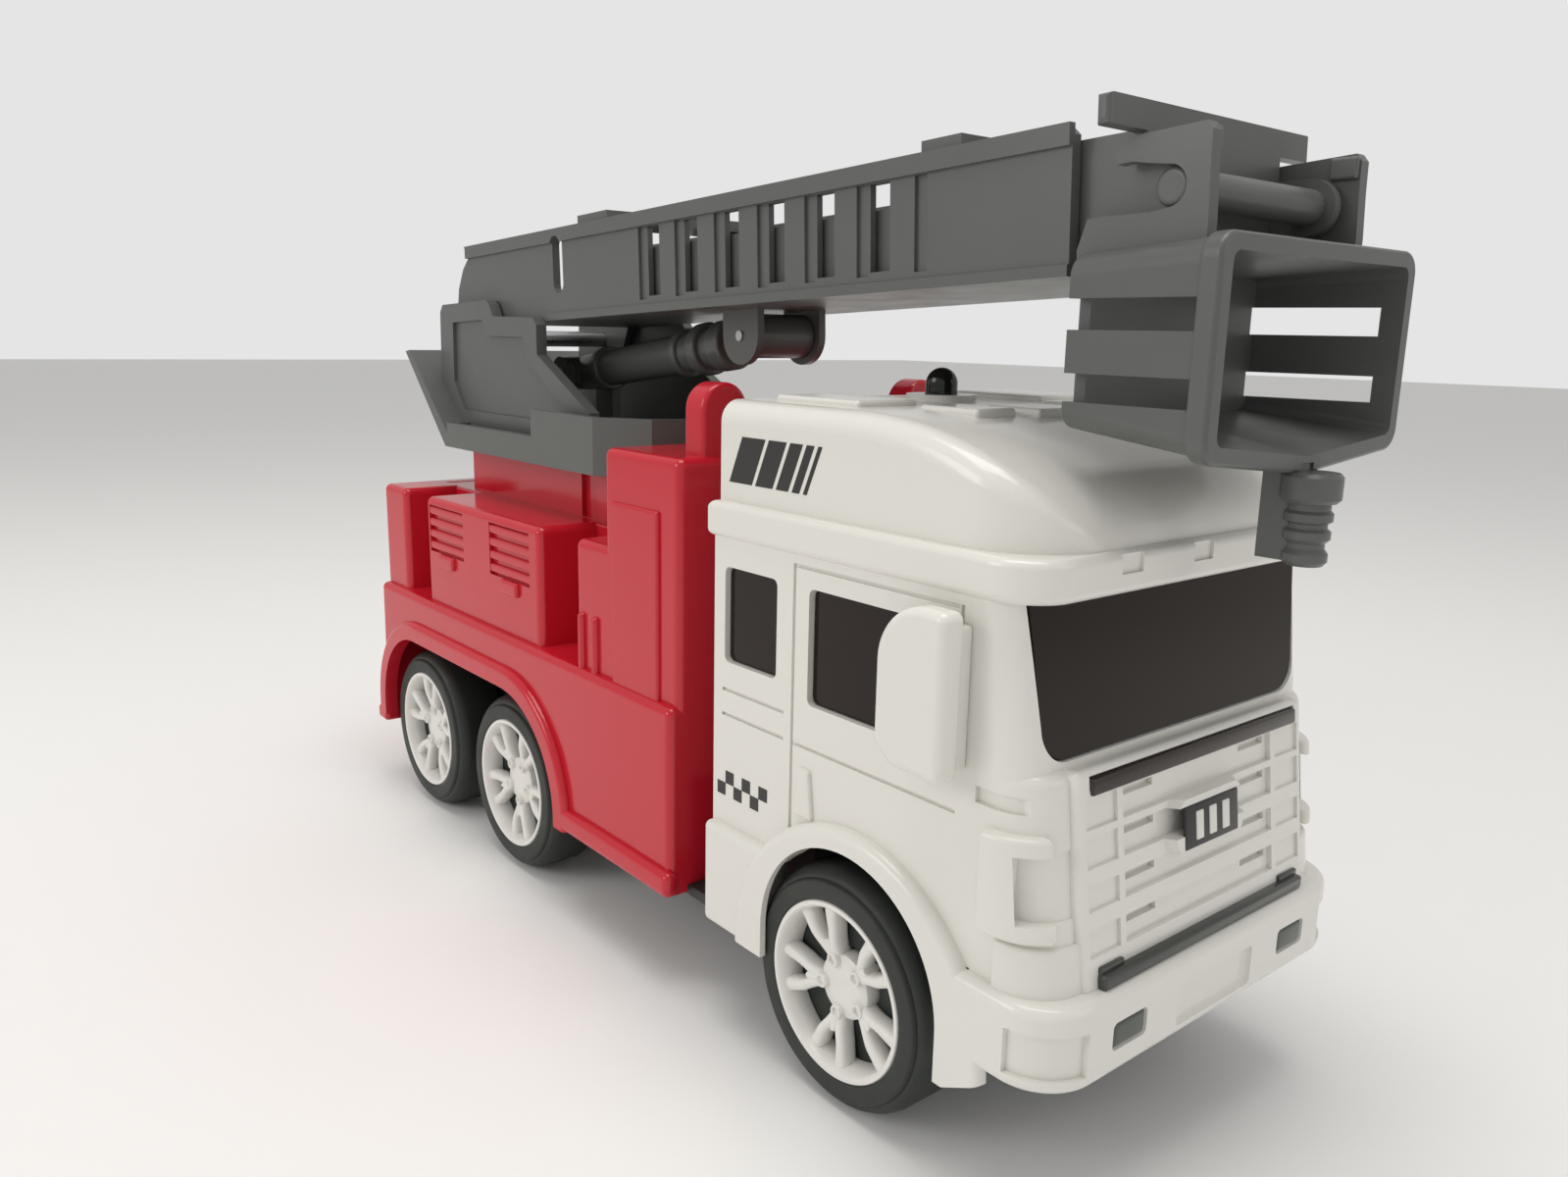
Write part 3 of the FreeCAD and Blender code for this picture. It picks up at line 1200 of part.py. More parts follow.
def build_lift_cylinder():
    """Drawn lying along +X from its foot pin, then turned up to the ladder's lug."""
    reach = math.hypot(size("lug_x") - size("foot_x"), size("lug_z") - size("foot_z"))
    lean = math.degrees(math.atan2(size("lug_z") - size("foot_z"), size("lug_x") - size("foot_x")))
    where = FreeCAD.Placement(V(size("foot_x"), 0, size("foot_z")), FreeCAD.Rotation(V(0, -1, 0), lean))
    barrel = cylinder("barrel_tube", "cylinder_radius", (2, 0, 0), 60, "X")
    parts = [barrel, cylinder("barrel_eye", 4, (0, -4.8, 0), 9.6, "Y")]
    rings = ((10, 3, 5.2), (44, 2.4, 5.2), (51, 3.4, 5.6), (57.6, 5, 5.3))
    for index, (start, length, radius) in enumerate(rings):
        ring = cylinder("barrel_ring_%d_raw" % index, radius, (start, 0, 0), length, "X")
        parts.append(fillet("barrel_ring_%d" % index, ring, 0.7, lambda e: True))
    bore = cylinder("barrel_bore", "ram_radius + 0.07", (14, 0, 0), 60, "X")
    eye = cylinder("barrel_eye_bore", 1.56, (0, -10, 0), 20, "Y")
    barrel_whole = cut("lift_cylinder", fuse("barrel_solid", parts), [bore, eye])
    barrel_whole.Placement = where
    node("lift_cylinder", barrel_whole)
    rod = cylinder("ram_rod", "ram_radius", (20, 0, 0), reach - 20 - 3.8, "X")
    head = cylinder("ram_head", "head_radius", (reach, -6.6, 0), 13.2, "Y")
    head_bore = cylinder("ram_head_bore", "head_bore", (reach, -10, 0), 20, "Y")
    ram = cut("lift_ram", fuse("ram_solid", [rod, head]), [head_bore])
    ram.Placement = where
    node("lift_ram", ram)


# ---------------------------------------------------------------- basket


def basket_section(name, x, half, low, high, sag, corner):
    """A section across the basket: rounded corners and a floor that sags to the middle."""
    lean = corner * (1 - math.sqrt(0.5))
    outline = [
        [(-half + corner, high), (-half + lean, high - lean), (-half, high - corner)],
        [(-half, low + corner), (-half + lean, low + lean), (-half + corner, low)],
        (0, low - sag),
        [(half - corner, low), (half - lean, low + lean), (half, low + corner)],
        [(half, high - corner), (half - lean, high - lean), (half - corner, high)],
    ]
    item = sketch(name, [outline], "YZ")
    item.Placement.Base = V(x, 0, 0)
    return item


def basket_arm_outline():
    """A hook open to the rear, with a round seat for the ladder's hinge rod."""
    x = size("hinge_x")
    z = size("hinge_z")
    seat = size("rod_radius") + 0.07
    return [
        (92.2, 133.1), (93.6, 137.0), (95.6, 137.2), (103.4, z - seat - 0.4),
        [(x, z - seat), (x + seat, z), (x, z + seat)],
        (103.4, z + seat + 0.2), (99.8, 143.6), (97.5, 143.4), (97.4, 144.4), (98.8, 146.6),
        (110, 147.4), (110.8, 146.4), (110.9, 142.1), (111.2, 136.1), (111.2, 132.6), (92.4, 131.6),
    ]


def build_basket():
    rear = size("basket_rear")
    mouth = size("basket_mouth")
    wall = size("basket_wall")
    outer = loft("basket_outer", [
        basket_section("basket_rear_edge", rear, 22.2, 109.9, 132.6, 0.6, 3),
        basket_section("basket_mouth_edge", mouth, 24.2, 107.5, 134.1, 2.1, 3),
    ])
    inner = loft("basket_inner", [
        basket_section("basket_rear_inside", rear + wall, 22.36 - wall, 109.8 + wall, 132.7 - wall, 0.6, 1.4),
        basket_section("basket_mouth_inside", mouth + 1, 24.28 - wall, 107.4 + wall, 134.1 - wall, 2.1, 1.4),
    ])
    shell = cut("basket_tub", outer, [inner])
    lip_out = loft("lip_outer", [
        basket_section("lip_rear_out", mouth - 3.2, 24.7, 107.2, 134.4, 2.1, 3.2),
        basket_section("lip_front_out", mouth, 24.9, 106.9, 134.5, 2.1, 3.2),
    ])
    lip_in = loft("lip_inner", [
        basket_section("lip_rear_in", mouth - 4, 22.2, 109.4, 132.2, 2.0, 1.4),
        basket_section("lip_front_in", mouth + 1, 22.7, 109.0, 132.4, 2.1, 1.4),
    ])
    rounded = fillet("lip_rounded", lip_out, 0.7, lambda e: e.BoundBox.XLength < 0.1)
    lip = cut("basket_lip", rounded, [lip_in])
    slots = []
    for index, (low, high) in enumerate(((113.6, 117.3), (122.9, 126.9))):
        for side_name, side in SIDES.items():
            span = sorted([side * 19.8, side * 30])
            near, far = (rear - 1, span[0], low), (113.7, span[1], high)
            slots.append(box("basket_slot_%d_%s" % (index, side_name), near, far))
    open_shell = cut("basket_open", shell, slots)
    inside = size("arm_inner")
    arms = wall_pair("basket_arm", basket_arm_outline(), inside, inside + size("arm_wall"))
    for side_name, side in SIDES.items():
        span = sorted([side * (inside - 0.8), side * (inside + 1)])
        block = soft_box("arm_block_" + side_name, (106.6, span[0], 144), (110.6, span[1], 147), 0.4, None)
        arms.append(block)
    whole = fuse("basket_whole", [open_shell, lip] + arms)
    web_slot = box("web_slot", (112.6, -1.7, 100), (mouth + 2, 1.7, 106.4))
    node("basket", cut("basket", whole, [web_slot]))
    build_nozzle(size("nozzle_x"))


def build_nozzle(x):
    """A water monitor held under the basket's lip by a flat web."""
    turned = [
        (1.5, 93), (2.4, 93), (2.9, 93.6), (2.9, 94.6), (2.4, 95.3), (2.4, 96), (3.0, 96.6), (3.0, 97.6),
        (2.5, 98), (2.5, 98.6), (3.1, 99), (3.1, 100), (2.7, 100.4), (2.7, 101.4), (3.4, 101.4),
        (3.85, 101.9), (3.85, 104.8), (3.4, 105.3), (0, 105.3), (0, 97), (1.5, 97),
    ]
    body = revolve("nozzle_body", sketch("nozzle_profile", [turned], "XZ"), "Z", V(0, 0, 0))
    place(body, x, 0, 0)
    web = box("nozzle_web", (111.6, -1.6, 93.4), (x, 1.6, 104.9))
    hook = box("nozzle_hook", (112.7, -1.6, 104), (x - 1.2, 1.6, 106.3))
    solid = fuse("nozzle_solid", [body, web, hook])
    node("water_nozzle", cut("water_nozzle", solid, [cylinder("nozzle_bore", 1.5, (x, 0, 92), 5)]))


build_turntable()
build_boom_outer()
build_boom_inner()
build_lift_cylinder()
build_basket()

# ---------------------------------------------------------------- friction drive

TEETH = {"axle": 22, "idler_small": 10, "idler_large": 24, "flywheel": 10}
BACKLASH = 0.25


def gear_outline(teeth, phase):
    """An involute gear's outline, one tooth centred on the angle phase in degrees."""
    module = size("gear_module")
    pitch_radius = teeth * module / 2
    base_radius = pitch_radius * math.cos(math.radians(20))
    outer = pitch_radius + 0.8 * module
    root = pitch_radius - 1.2 * module
    pressure = math.tan(math.radians(20)) - math.radians(20)
    half_tooth = math.pi / (2 * teeth) - BACKLASH / (2 * pitch_radius) + pressure
    flank = []
    for step in range(4):
        radius = max(root, base_radius) + (outer - max(root, base_radius)) * step / 3
        roll = math.sqrt(max(radius * radius / (base_radius * base_radius) - 1, 0))
        flank.append((radius, half_tooth - (roll - math.atan(roll))))
    points = []
    for tooth in range(teeth):
        middle = math.radians(phase) + 2 * math.pi * tooth / teeth
        rise = [(root, flank[0][1])] + flank
        for radius, offset in rise:
            points.append((radius * math.cos(middle - offset), radius * math.sin(middle - offset)))
        for radius, offset in reversed(rise):
            points.append((radius * math.cos(middle + offset), radius * math.sin(middle + offset)))
    return points


def gear(name, teeth, phase, low, high):
    """A gear about the Y axis through the origin."""
    return extrude(name, sketch(name + "_outline", [gear_outline(teeth, phase)], "XZ"), "Y", low, high)


def build_drive():
    module = size("gear_module")
    axle = (size("mid_axle"), size("axle_height"))
    first = 78
    second = 118
    idler = polar(axle, module * (TEETH["axle"] + TEETH["idler_small"]) / 2, first)
    wheel = polar(idler, module * (TEETH["idler_large"] + TEETH["flywheel"]) / 2, second)
    drive = cut("drive_gear", gear("drive_teeth", TEETH["axle"], first, -5, -2),
                [cylinder("drive_bore", "axle_radius", (0, -8, 0), 16, "Y")])
    place(drive, axle[0], 0, axle[1])
    node("drive_gear", drive)
    small = gear("idler_small_teeth", TEETH["idler_small"], first + 180 + 180 / TEETH["idler_small"], -5.4, 0)
    large = gear("idler_large_teeth", TEETH["idler_large"], second, 0, 1.8)
    idler_gear = cut("idler_gear", fuse("idler_solid", [small, large]),
                     [cylinder("idler_bore", 1.06, (0, -9, 0), 18, "Y")])
    place(idler_gear, idler[0], 0, idler[1])
    node("idler_gear", idler_gear)
    pinion = gear("flywheel_teeth", TEETH["flywheel"], second + 180 + 180 / TEETH["flywheel"], -0.3, 2.6)
    disc = cylinder("flywheel_disc", 7.4, (0, 2.6, 0), 4.6, "Y")
    flywheel = cut("flywheel", fuse("flywheel_solid", [pinion, disc]),
                   [cylinder("flywheel_bore", 1.06, (0, -9, 0), 18, "Y")])
    place(flywheel, wheel[0], 0, wheel[1])
    node("flywheel", flywheel)
    node("idler_pin", cylinder("idler_pin", 1, (idler[0], -8.9, idler[1]), 17.8, "Y"))
    node("flywheel_pin", cylinder("flywheel_pin", 1, (wheel[0], -8.9, wheel[1]), 17.8, "Y"))
    build_gearbox(axle, idler, wheel)


def build_gearbox(axle, idler, wheel):
    low_x, high_x, low_z, top = -56.1, -29.4, 9.7, 53
    wall = 1.5
    for side_name, side in SIDES.items():
        outer = sorted([0, side * 9])
        inner = sorted([side * -1, side * (9 - wall)])
        block = soft_box(
            "gearbox_block_" + side_name, (low_x, outer[0], low_z), (high_x, outer[1], top), 0.8, None
        )
        ear_low, ear_high = (low_x - 4, outer[0], "plate_top + 0.05"), (high_x + 2.2, outer[1], 21.6)
        ears = box("gearbox_ears_" + side_name, ear_low, ear_high)
        cuts = [
            box(
                "gearbox_space_" + side_name, (low_x + wall, inner[0], low_z + wall),
                (high_x - wall, inner[1], top - wall),
            ),
            cylinder("gearbox_axle_" + side_name, "axle_radius + axle_gap", (axle[0], -20, axle[1]), 40, "Y"),
            cylinder("gearbox_idler_" + side_name, 1, (idler[0], -20, idler[1]), 40, "Y"),
            cylinder("gearbox_wheel_" + side_name, 1, (wheel[0], -20, wheel[1]), 40, "Y"),
        ]
        case = fuse("gearbox_case_" + side_name, [block, ears])
        node("gearbox_" + side_name, cut("gearbox_" + side_name, case, cuts))


build_drive()

# ---------------------------------------------------------------- checks and files

doc.recompute()
for item in doc.Objects:
    if "Invalid" in item.State or "Error" in item.State:
        raise RuntimeError("%s did not compute: %s" % (item.Name, item.State))
for item in NODES:
    if item.Shape.isNull() or not item.Shape.isValid():
        raise RuntimeError("%s has no valid shape" % item.Label)
os.makedirs("parts", exist_ok=True)
for item in NODES:
    item.Shape.exportStep("parts/%s.step" % item.Label)
whole = Part.makeCompound([item.Shape for item in NODES])
print(len(NODES), "sub-parts", whole.BoundBox)
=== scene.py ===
import json
import math

import bmesh
import bpy
from mathutils import Matrix, Vector


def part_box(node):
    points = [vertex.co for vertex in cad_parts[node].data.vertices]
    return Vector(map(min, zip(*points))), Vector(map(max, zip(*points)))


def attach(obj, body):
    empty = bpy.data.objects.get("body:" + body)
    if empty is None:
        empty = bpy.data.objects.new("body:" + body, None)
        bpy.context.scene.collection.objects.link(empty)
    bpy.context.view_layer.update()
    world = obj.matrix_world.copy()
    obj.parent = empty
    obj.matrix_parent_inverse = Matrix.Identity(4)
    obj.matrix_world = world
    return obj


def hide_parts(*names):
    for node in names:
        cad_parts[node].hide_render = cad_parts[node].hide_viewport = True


# Looks for the toy fire engine: everything is in metres, in the row frame of
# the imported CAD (+X front, +Y left, +Z up, wheels on z = 0).

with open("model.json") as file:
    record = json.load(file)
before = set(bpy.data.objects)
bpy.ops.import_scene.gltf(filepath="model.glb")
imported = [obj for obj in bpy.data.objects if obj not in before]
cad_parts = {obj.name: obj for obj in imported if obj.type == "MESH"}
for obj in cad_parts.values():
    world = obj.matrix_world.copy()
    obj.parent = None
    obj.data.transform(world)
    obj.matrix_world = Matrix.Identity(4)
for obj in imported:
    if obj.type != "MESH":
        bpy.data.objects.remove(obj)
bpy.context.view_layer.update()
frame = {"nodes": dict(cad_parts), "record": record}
NODES = frame["nodes"]
MM = 0.001
SIDES = {"right": -1, "left": 1}

# Pieces are drawn in millimetres from the truck's own origin, 68 mm behind the
# front axle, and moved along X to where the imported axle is.
AXLE_X = {"front": 68.0, "mid": -43.0, "rear": -89.8}
axle_low, axle_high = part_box("front_axle")
SHIFT = Vector(((axle_low[0] + axle_high[0]) / 2 - AXLE_X["front"] * MM, 0, 0))

# ---------------------------------------------------------------- materials


def new_material(name):
    material = bpy.data.materials.new(name)
    material.use_nodes = True
    tree = material.node_tree
    shader = tree.nodes["Principled BSDF"]
    return material, tree, shader


def add_noise(tree, scale, detail=4.0, rough=0.5):
    coords = tree.nodes.new("ShaderNodeTexCoord")
    noise = tree.nodes.new("ShaderNodeTexNoise")
    noise.inputs["Scale"].default_value = scale
    noise.inputs["Detail"].default_value = detail
    noise.inputs["Roughness"].default_value = rough
    tree.links.new(coords.outputs["Object"], noise.inputs["Vector"])
    return noise


def add_ramp(tree, source, low, high, at=(0.35, 0.65)):
    ramp = tree.nodes.new("ShaderNodeMapRange")
    ramp.inputs["From Min"].default_value = at[0]
    ramp.inputs["From Max"].default_value = at[1]
    ramp.inputs["To Min"].default_value = low
    ramp.inputs["To Max"].default_value = high
    tree.links.new(source, ramp.inputs["Value"])
    return ramp.outputs["Result"]


def plastic(
    name, color, roughness, mottling=0.04, bump=0.02, grain=900.0, metallic=0.0, specular=0.5, spread=0.12
):
    """A moulded or cast surface: a slow drift of tone, uneven gloss and a fine grain."""
    material, tree, shader = new_material(name)
    shader.inputs["Metallic"].default_value = metallic
    shader.inputs["Specular IOR Level"].default_value = specular
    drift = add_noise(tree, 35.0)
    mix = tree.nodes.new("ShaderNodeMix")
    mix.data_type = "RGBA"
    mix.inputs["A"].default_value = tuple(c * (1 - mottling) for c in color) + (1,)
    mix.inputs["B"].default_value = tuple(min(1, c * (1 + mottling)) for c in color) + (1,)
    tree.links.new(drift.outputs["Fac"], mix.inputs["Factor"])
    tree.links.new(mix.outputs["Result"], shader.inputs["Base Color"])
    gloss = add_noise(tree, 120.0, 6.0, 0.6)
    rough = add_ramp(tree, gloss.outputs["Fac"], roughness * (1 - spread), roughness * (1 + spread))
    tree.links.new(rough, shader.inputs["Roughness"])
    fine = add_noise(tree, grain, 3.0)
    relief = tree.nodes.new("ShaderNodeBump")
    relief.inputs["Strength"].default_value = bump
    relief.inputs["Distance"].default_value = 0.0002
    tree.links.new(fine.outputs["Fac"], relief.inputs["Height"])
    tree.links.new(relief.outputs["Normal"], shader.inputs["Normal"])
    return material


LOOKS = {
    "white_gloss": plastic("white_abs", (0.77, 0.755, 0.71), 0.17, 0.006, 0.008, spread=0.04),
    "red_gloss": plastic("red_abs", (0.55, 0.013, 0.028), 0.15, 0.02, 0.01, spread=0.06),
    "grey_plastic": plastic("grey_abs", (0.108, 0.114, 0.108), 0.33, 0.05, 0.05),
    "smoked_window": plastic("smoked_window", (0.016, 0.009, 0.006), 0.06, 0.1, 0.0, specular=0.22),
    "black_plastic": plastic("black_abs", (0.02, 0.02, 0.022), 0.45, 0.05, 0.06),
    "black_dome": plastic("black_dome", (0.008, 0.008, 0.008), 0.06, 0.05, 0.0),
    "white_rim": plastic("white_rim", (0.80, 0.79, 0.75), 0.3, 0.01, 0.02),
    "tyre_rubber": plastic("tyre_rubber", (0.020, 0.024, 0.020), 0.55, 0.12, 0.12, 1500.0),
    "steel": plastic("steel", (0.55, 0.55, 0.56), 0.3, 0.03, 0.05, 2500.0, metallic=1.0),
    "zinc_casting": plastic("zinc", (0.45, 0.45, 0.47), 0.45, 0.06, 0.2, 1200.0, metallic=1.0),
    "brass_strip": plastic("brass", (0.78, 0.57, 0.22), 0.25, 0.03, 0.03, 1500.0, metallic=1.0),
    "green_board": plastic("green_board", (0.02, 0.16, 0.05), 0.4, 0.06, 0.04),
    "natural_nylon": plastic("natural_nylon", (0.68, 0.66, 0.58), 0.42, 0.04, 0.05),
}
LOOKS["dark_print"] = plastic("dark_print", (0.018, 0.017, 0.016), 0.35, 0.08, 0.02)
LOOKS["dark_trim"] = plastic("dark_trim", (0.028, 0.02, 0.016), 0.18, 0.08, 0.02)
LOOKS["bar_grey"] = plastic("bar_grey", (0.055, 0.058, 0.052), 0.18, 0.06, 0.02)
LOOKS["fog_lamp"] = plastic("fog_lamp", (0.075, 0.085, 0.075), 0.25, 0.08, 0.02)

SLOT_OF = {row["node"]: row["material_slot"] for row in frame["record"]["subparts"]}
for node_name, node_object in NODES.items():
    node_object.data.materials.clear()
    node_object.data.materials.append(LOOKS[SLOT_OF[node_name]])
    node_object.data.polygons.foreach_set("use_smooth", [True] * len(node_object.data.polygons))
    node_object.data.set_sharp_from_angle(angle=math.radians(28))

# ---------------------------------------------------------------- mesh helpers


def add_object(name, verts, faces, look, body, slot, smooth=35):
    """A piece from millimetre verts, riding a body; the slot argument is not used."""
    mesh = bpy.data.meshes.new(name)
    mesh.from_pydata([Vector(v) * MM + SHIFT for v in verts], [], faces)
    tidy = bmesh.new()
    tidy.from_mesh(mesh)
    bmesh.ops.remove_doubles(tidy, verts=tidy.verts, dist=1e-7)
    bmesh.ops.recalc_face_normals(tidy, faces=tidy.faces)
    tidy.to_mesh(mesh)
    tidy.free()
    mesh.materials.append(LOOKS[look])
    mesh.polygons.foreach_set("use_smooth", [True] * len(mesh.polygons))
    mesh.set_sharp_from_angle(angle=math.radians(smooth))
    item = bpy.data.objects.new(name, mesh)
    bpy.context.scene.collection.objects.link(item)
    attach(item, body)
    return item


def lathe(profile, centre, segments=96):
    """Verts and faces of (across, radius) points turned about the Y axis through centre."""
    verts = []
    faces = []
    count = len(profile)
    for step in range(segments):
        angle = 2 * math.pi * step / segments
        for across, radius in profile:
            verts.append((centre[0] + radius * math.cos(angle), across, centre[1] + radius * math.sin(angle)))
    for step in range(segments):
        near = step * count
        far = (step + 1) % segments * count
        for k in range(count - 1):
            faces.append((near + k, near + k + 1, far + k + 1, far + k))
    return verts, faces


def join(parts):
    """Several solids' verts and faces as one."""
    verts = []
    faces = []
    for part_verts, part_faces in parts:
        base = len(verts)
        verts += part_verts
        faces += [tuple(base + i for i in face) for face in part_faces]
    return verts, faces


def slab(low, high, radius, steps=3):
    """A box between two corners with every edge rounded."""
    block = bmesh.new()
    bmesh.ops.create_cube(block, size=1)
    size = [high[i] - low[i] for i in range(3)]
    middle = [(high[i] + low[i]) / 2 for i in range(3)]
    for vert in block.verts:
        vert.co = Vector(middle[i] + vert.co[i] * size[i] for i in range(3))
    bmesh.ops.bevel(block, geom=list(block.edges), offset=radius, segments=steps, profile=0.5, affect="EDGES")
    verts = [tuple(v.co) for v in block.verts]
    block.verts.index_update()
    faces = [tuple(v.index for v in face.verts) for face in block.faces]
    block.free()
    return verts, faces


def side_print(side, across, outline, depth=0.06):
    """A thin printed shape on the truck's side; outline is (along, up) points."""
    count = len(outline)
    near = [(x, side * (across - 0.02), z) for x, z in outline]
    far = [(x, side * (across + depth), z) for x, z in outline]
    faces = [tuple(range(count)), tuple(range(count, 2 * count))]
    for i in range(count):
        j = (i + 1) % count
        faces.append((i, j, count + j, count + i))
    return near + far, faces


def sweep(path, shape):
    """A capped tube: shape(k) gives the ring of points at the k-th station of the path."""
    rings = [shape(k) for k in range(len(path))]
    count = len(rings[0])
    verts = [p for ring in rings for p in ring]
    faces = []
    for k in range(len(rings) - 1):
        for i in range(count):
            j = (i + 1) % count
            faces.append((k * count + i, k * count + j, (k + 1) * count + j, (k + 1) * count + i))
    faces.append(tuple(range(count)))
    faces.append(tuple(reversed(range((len(rings) - 1) * count, len(rings) * count))))
    return verts, faces


# ---------------------------------------------------------------- wheels

TYRE_FACE = 37.0
AXLE_Z = 20.0
SPOKE_PHASE = {"front": 44.0, "mid": 60.0, "rear": 20.0}
SPOKE_SPREAD = 13.5
SPOKE_FOOT = 3.0
SPOKE_END = 13.5
LOBE_END = 8.0
NUT_CIRCLE = 4.55


def spoke(centre, side, middle, lean, face, outer=SPOKE_END):
    """One rounded spoke from the hub outwards, leaning (-1, 0 or 1) away from its pair's middle."""
    stations = 12
    path = [SPOKE_FOOT + (outer - SPOKE_FOOT) * k / (stations - 1) for k in range(stations)]

    def ring(k):
        radius = path[k]
        share = (radius - SPOKE_FOOT) / (SPOKE_END - SPOKE_FOOT)
        fork = min(1, max(0, (radius - 4.2) / 5.2))
        turn = middle + lean * math.radians(SPOKE_SPREAD) * fork ** 0.75
        front = face - 2.5 + 1.4 * math.sin(math.pi / 2 * min(1, share * 1.35))
        width = 1.35 - 0.35 * math.sin(math.pi * share)
        if outer == LOBE_END and k > stations - 4:
            width *= (1, 0.9, 0.6)[k - stations + 3]
        points = []
        for i in range(16):
            a = 2 * math.pi * i / 16
            across = width * math.copysign(abs(math.cos(a)) ** 0.7, math.cos(a))
            deep = 1.7 * math.copysign(abs(math.sin(a)) ** 0.7, math.sin(a))
            x = centre[0] + radius * math.cos(turn) - across * math.sin(turn)
            z = centre[1] + radius * math.sin(turn) + across * math.cos(turn)
            points.append((x, side * (front - 1.7 + deep), z))
        return points

    return sweep(path, ring)


def build_wheel(place_name, side_name):
    """A tyre with its dark web, and a pale rim with five pairs of spokes, a hub and five nuts."""
    side = SIDES[side_name]
    phase = SPOKE_PHASE[place_name]
    centre = (AXLE_X[place_name], AXLE_Z)
    face = TYRE_FACE
    body = place_name + "_wheels"
    name = "%s_%s" % (place_name, side_name)
    tyre_profile = [
        (face - 12.6, 14.7), (face - 12.9, 15.2), (face - 13, 18.2), (face - 12.4, 19.4), (face - 11.2, 20),
        (face - 3.4, 20), (face - 2.3, 19.75), (face - 1.3, 19.2), (face - 0.8, 18.7), (face - 0.7, 18.4),
        (face - 0.75, 18.1), (face - 0.2, 17.9), (face - 0.04, 17.7), (face, 17.4), (face - 0.05, 16.0),
        (face, 15.1), (face - 0.1, 14.85), (face - 0.4, 14.7), (face - 4.6, 14.6), (face - 4.6, 6.2),
        (face - 7.2, 6.2), (face - 7.8, 13.8), (face - 12.6, 14.7),
    ]
    tyre = lathe([(side * a, r) for a, r in tyre_profile], centre)
    piece = add_object("tyre_skin_" + name, *tyre, "tyre_rubber", body, "tyre_rubber", 50)
    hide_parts("tyre_" + name)
    rim_profile = [
        (face - 4.5, 14.65), (face - 4.5, 12.7), (face - 4.3, 12.6), (face - 2.0, 13.1),
        (face - 0.9, 13.4), (face - 0.25, 13.65), (face - 0.02, 13.9), (face - 0.02, 14.5),
        (face - 0.3, 14.7), (face - 4.5, 14.65),
    ]
    hub_profile = [
        (face - 12.0, 1.5), (face - 12.0, 4.0), (face - 7.0, 4.2), (face - 6.4, 5.2), (face - 3.8, 5.5),
        (face - 2.8, 5.3), (face - 2.4, 4.8), (face - 2.35, 2.4), (face - 2.5, 1.6), (face - 2.55, 0.0),
    ]
    parts = [lathe([(side * a, r) for a, r in rim_profile], centre)]
    parts.append(lathe([(side * a, r) for a, r in hub_profile], centre, 64))
    for k in range(5):
        middle = math.radians(phase + 72 * k)
        for lean in (-1, 1):
            parts.append(spoke(centre, side, middle, lean, face))
        parts.append(spoke(centre, side, middle, 0, face, LOBE_END))
        nut_centre = (centre[0] + NUT_CIRCLE * math.cos(middle), centre[1] + NUT_CIRCLE * math.sin(middle))
        nut = [
            (face - 4.0, 1.3), (face - 1.8, 1.25), (face - 1.55, 1.1), (face - 1.5, 0.85), (face - 1.7, 0.7),
            (face - 2.1, 0.65), (face - 2.1, 0.0),
        ]
        parts.append(lathe([(side * a, r) for a, r in nut], nut_centre, 20))
    rim = add_object("rim_skin_" + name, *join(parts), "white_rim", body, "white_rim", 40)
    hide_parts("rim_" + name)


for wheel_place in AXLE_X:
    for wheel_side in SIDES:
        build_wheel(wheel_place, wheel_side)

# ---------------------------------------------------------------- cab trim

# Along X: the leaning grille's face at z = 64, how far it comes forward per
# millimetre down, and the upright faces behind the lower bar and of the bumper.
GRILLE_FACE = 105.6
RAKE = 0.126
BAR_FACE = 108.7
BUMPER_FACE = 111.6


def leaning(solid):
    """Shears a solid so that it leans back with the grille."""
    verts, faces = solid
    return [(x + (64 - z) * RAKE, y, z) for x, y, z in verts], faces


def add_strips():
    """A dark strip under the windscreen and a grey bar with two lugs over the bumper."""
    upper = leaning(slab((GRILLE_FACE - 0.75, -26.3, 62.6), (GRILLE_FACE + 0.5, 26.3, 65.0), 0.4))
    add_object("upper_strip", *upper, "dark_trim", "chassis", "black_plastic")
    bar = [slab((BAR_FACE - 0.1, -26, 35.95), (BAR_FACE + 1.7, 26, 38.1), 0.55)]
    for side in SIDES.values():
        span = sorted([side * 20.5, side * 25.8])
        bar.append(slab((BAR_FACE - 0.1, span[0], 37.6), (BAR_FACE + 0.7, span[1], 39.0), 0.3))
    add_object("lower_strip", *join(bar), "bar_grey", "chassis", "grey_plastic")


def add_badge():
    """A plain dark plate with three pale upright bars."""
    front = GRILLE_FACE + 1.5
    plate = leaning(slab((front - 0.4, -6.9, 50.6), (front + 0.18, 6.9, 57.0), 0.25))
    add_object("badge_plate", *plate, "dark_print", "chassis", "black_plastic")
    bars = []
    for middle in (-3.4, 0, 3.4):
        bars.append(slab((front - 0.2, middle - 0.9, 51.7), (front + 0.36, middle + 0.9, 55.9), 0.15))
    add_object("badge_bars", *leaning(join(bars)), "white_gloss", "chassis", "white_gloss")


def add_fog_lamp(side_name, side):
    """A dark rounded lens in its recess in the bumper."""
    span = sorted([side * 17.45, side * 25.15])
    lens = slab((BUMPER_FACE - 1.4, span[0], 27.45), (BUMPER_FACE - 0.05, span[1], 31.55), 0.95, 5)
    add_object("fog_lamp_" + side_name, *lens, "fog_lamp", "chassis", "grey_plastic")


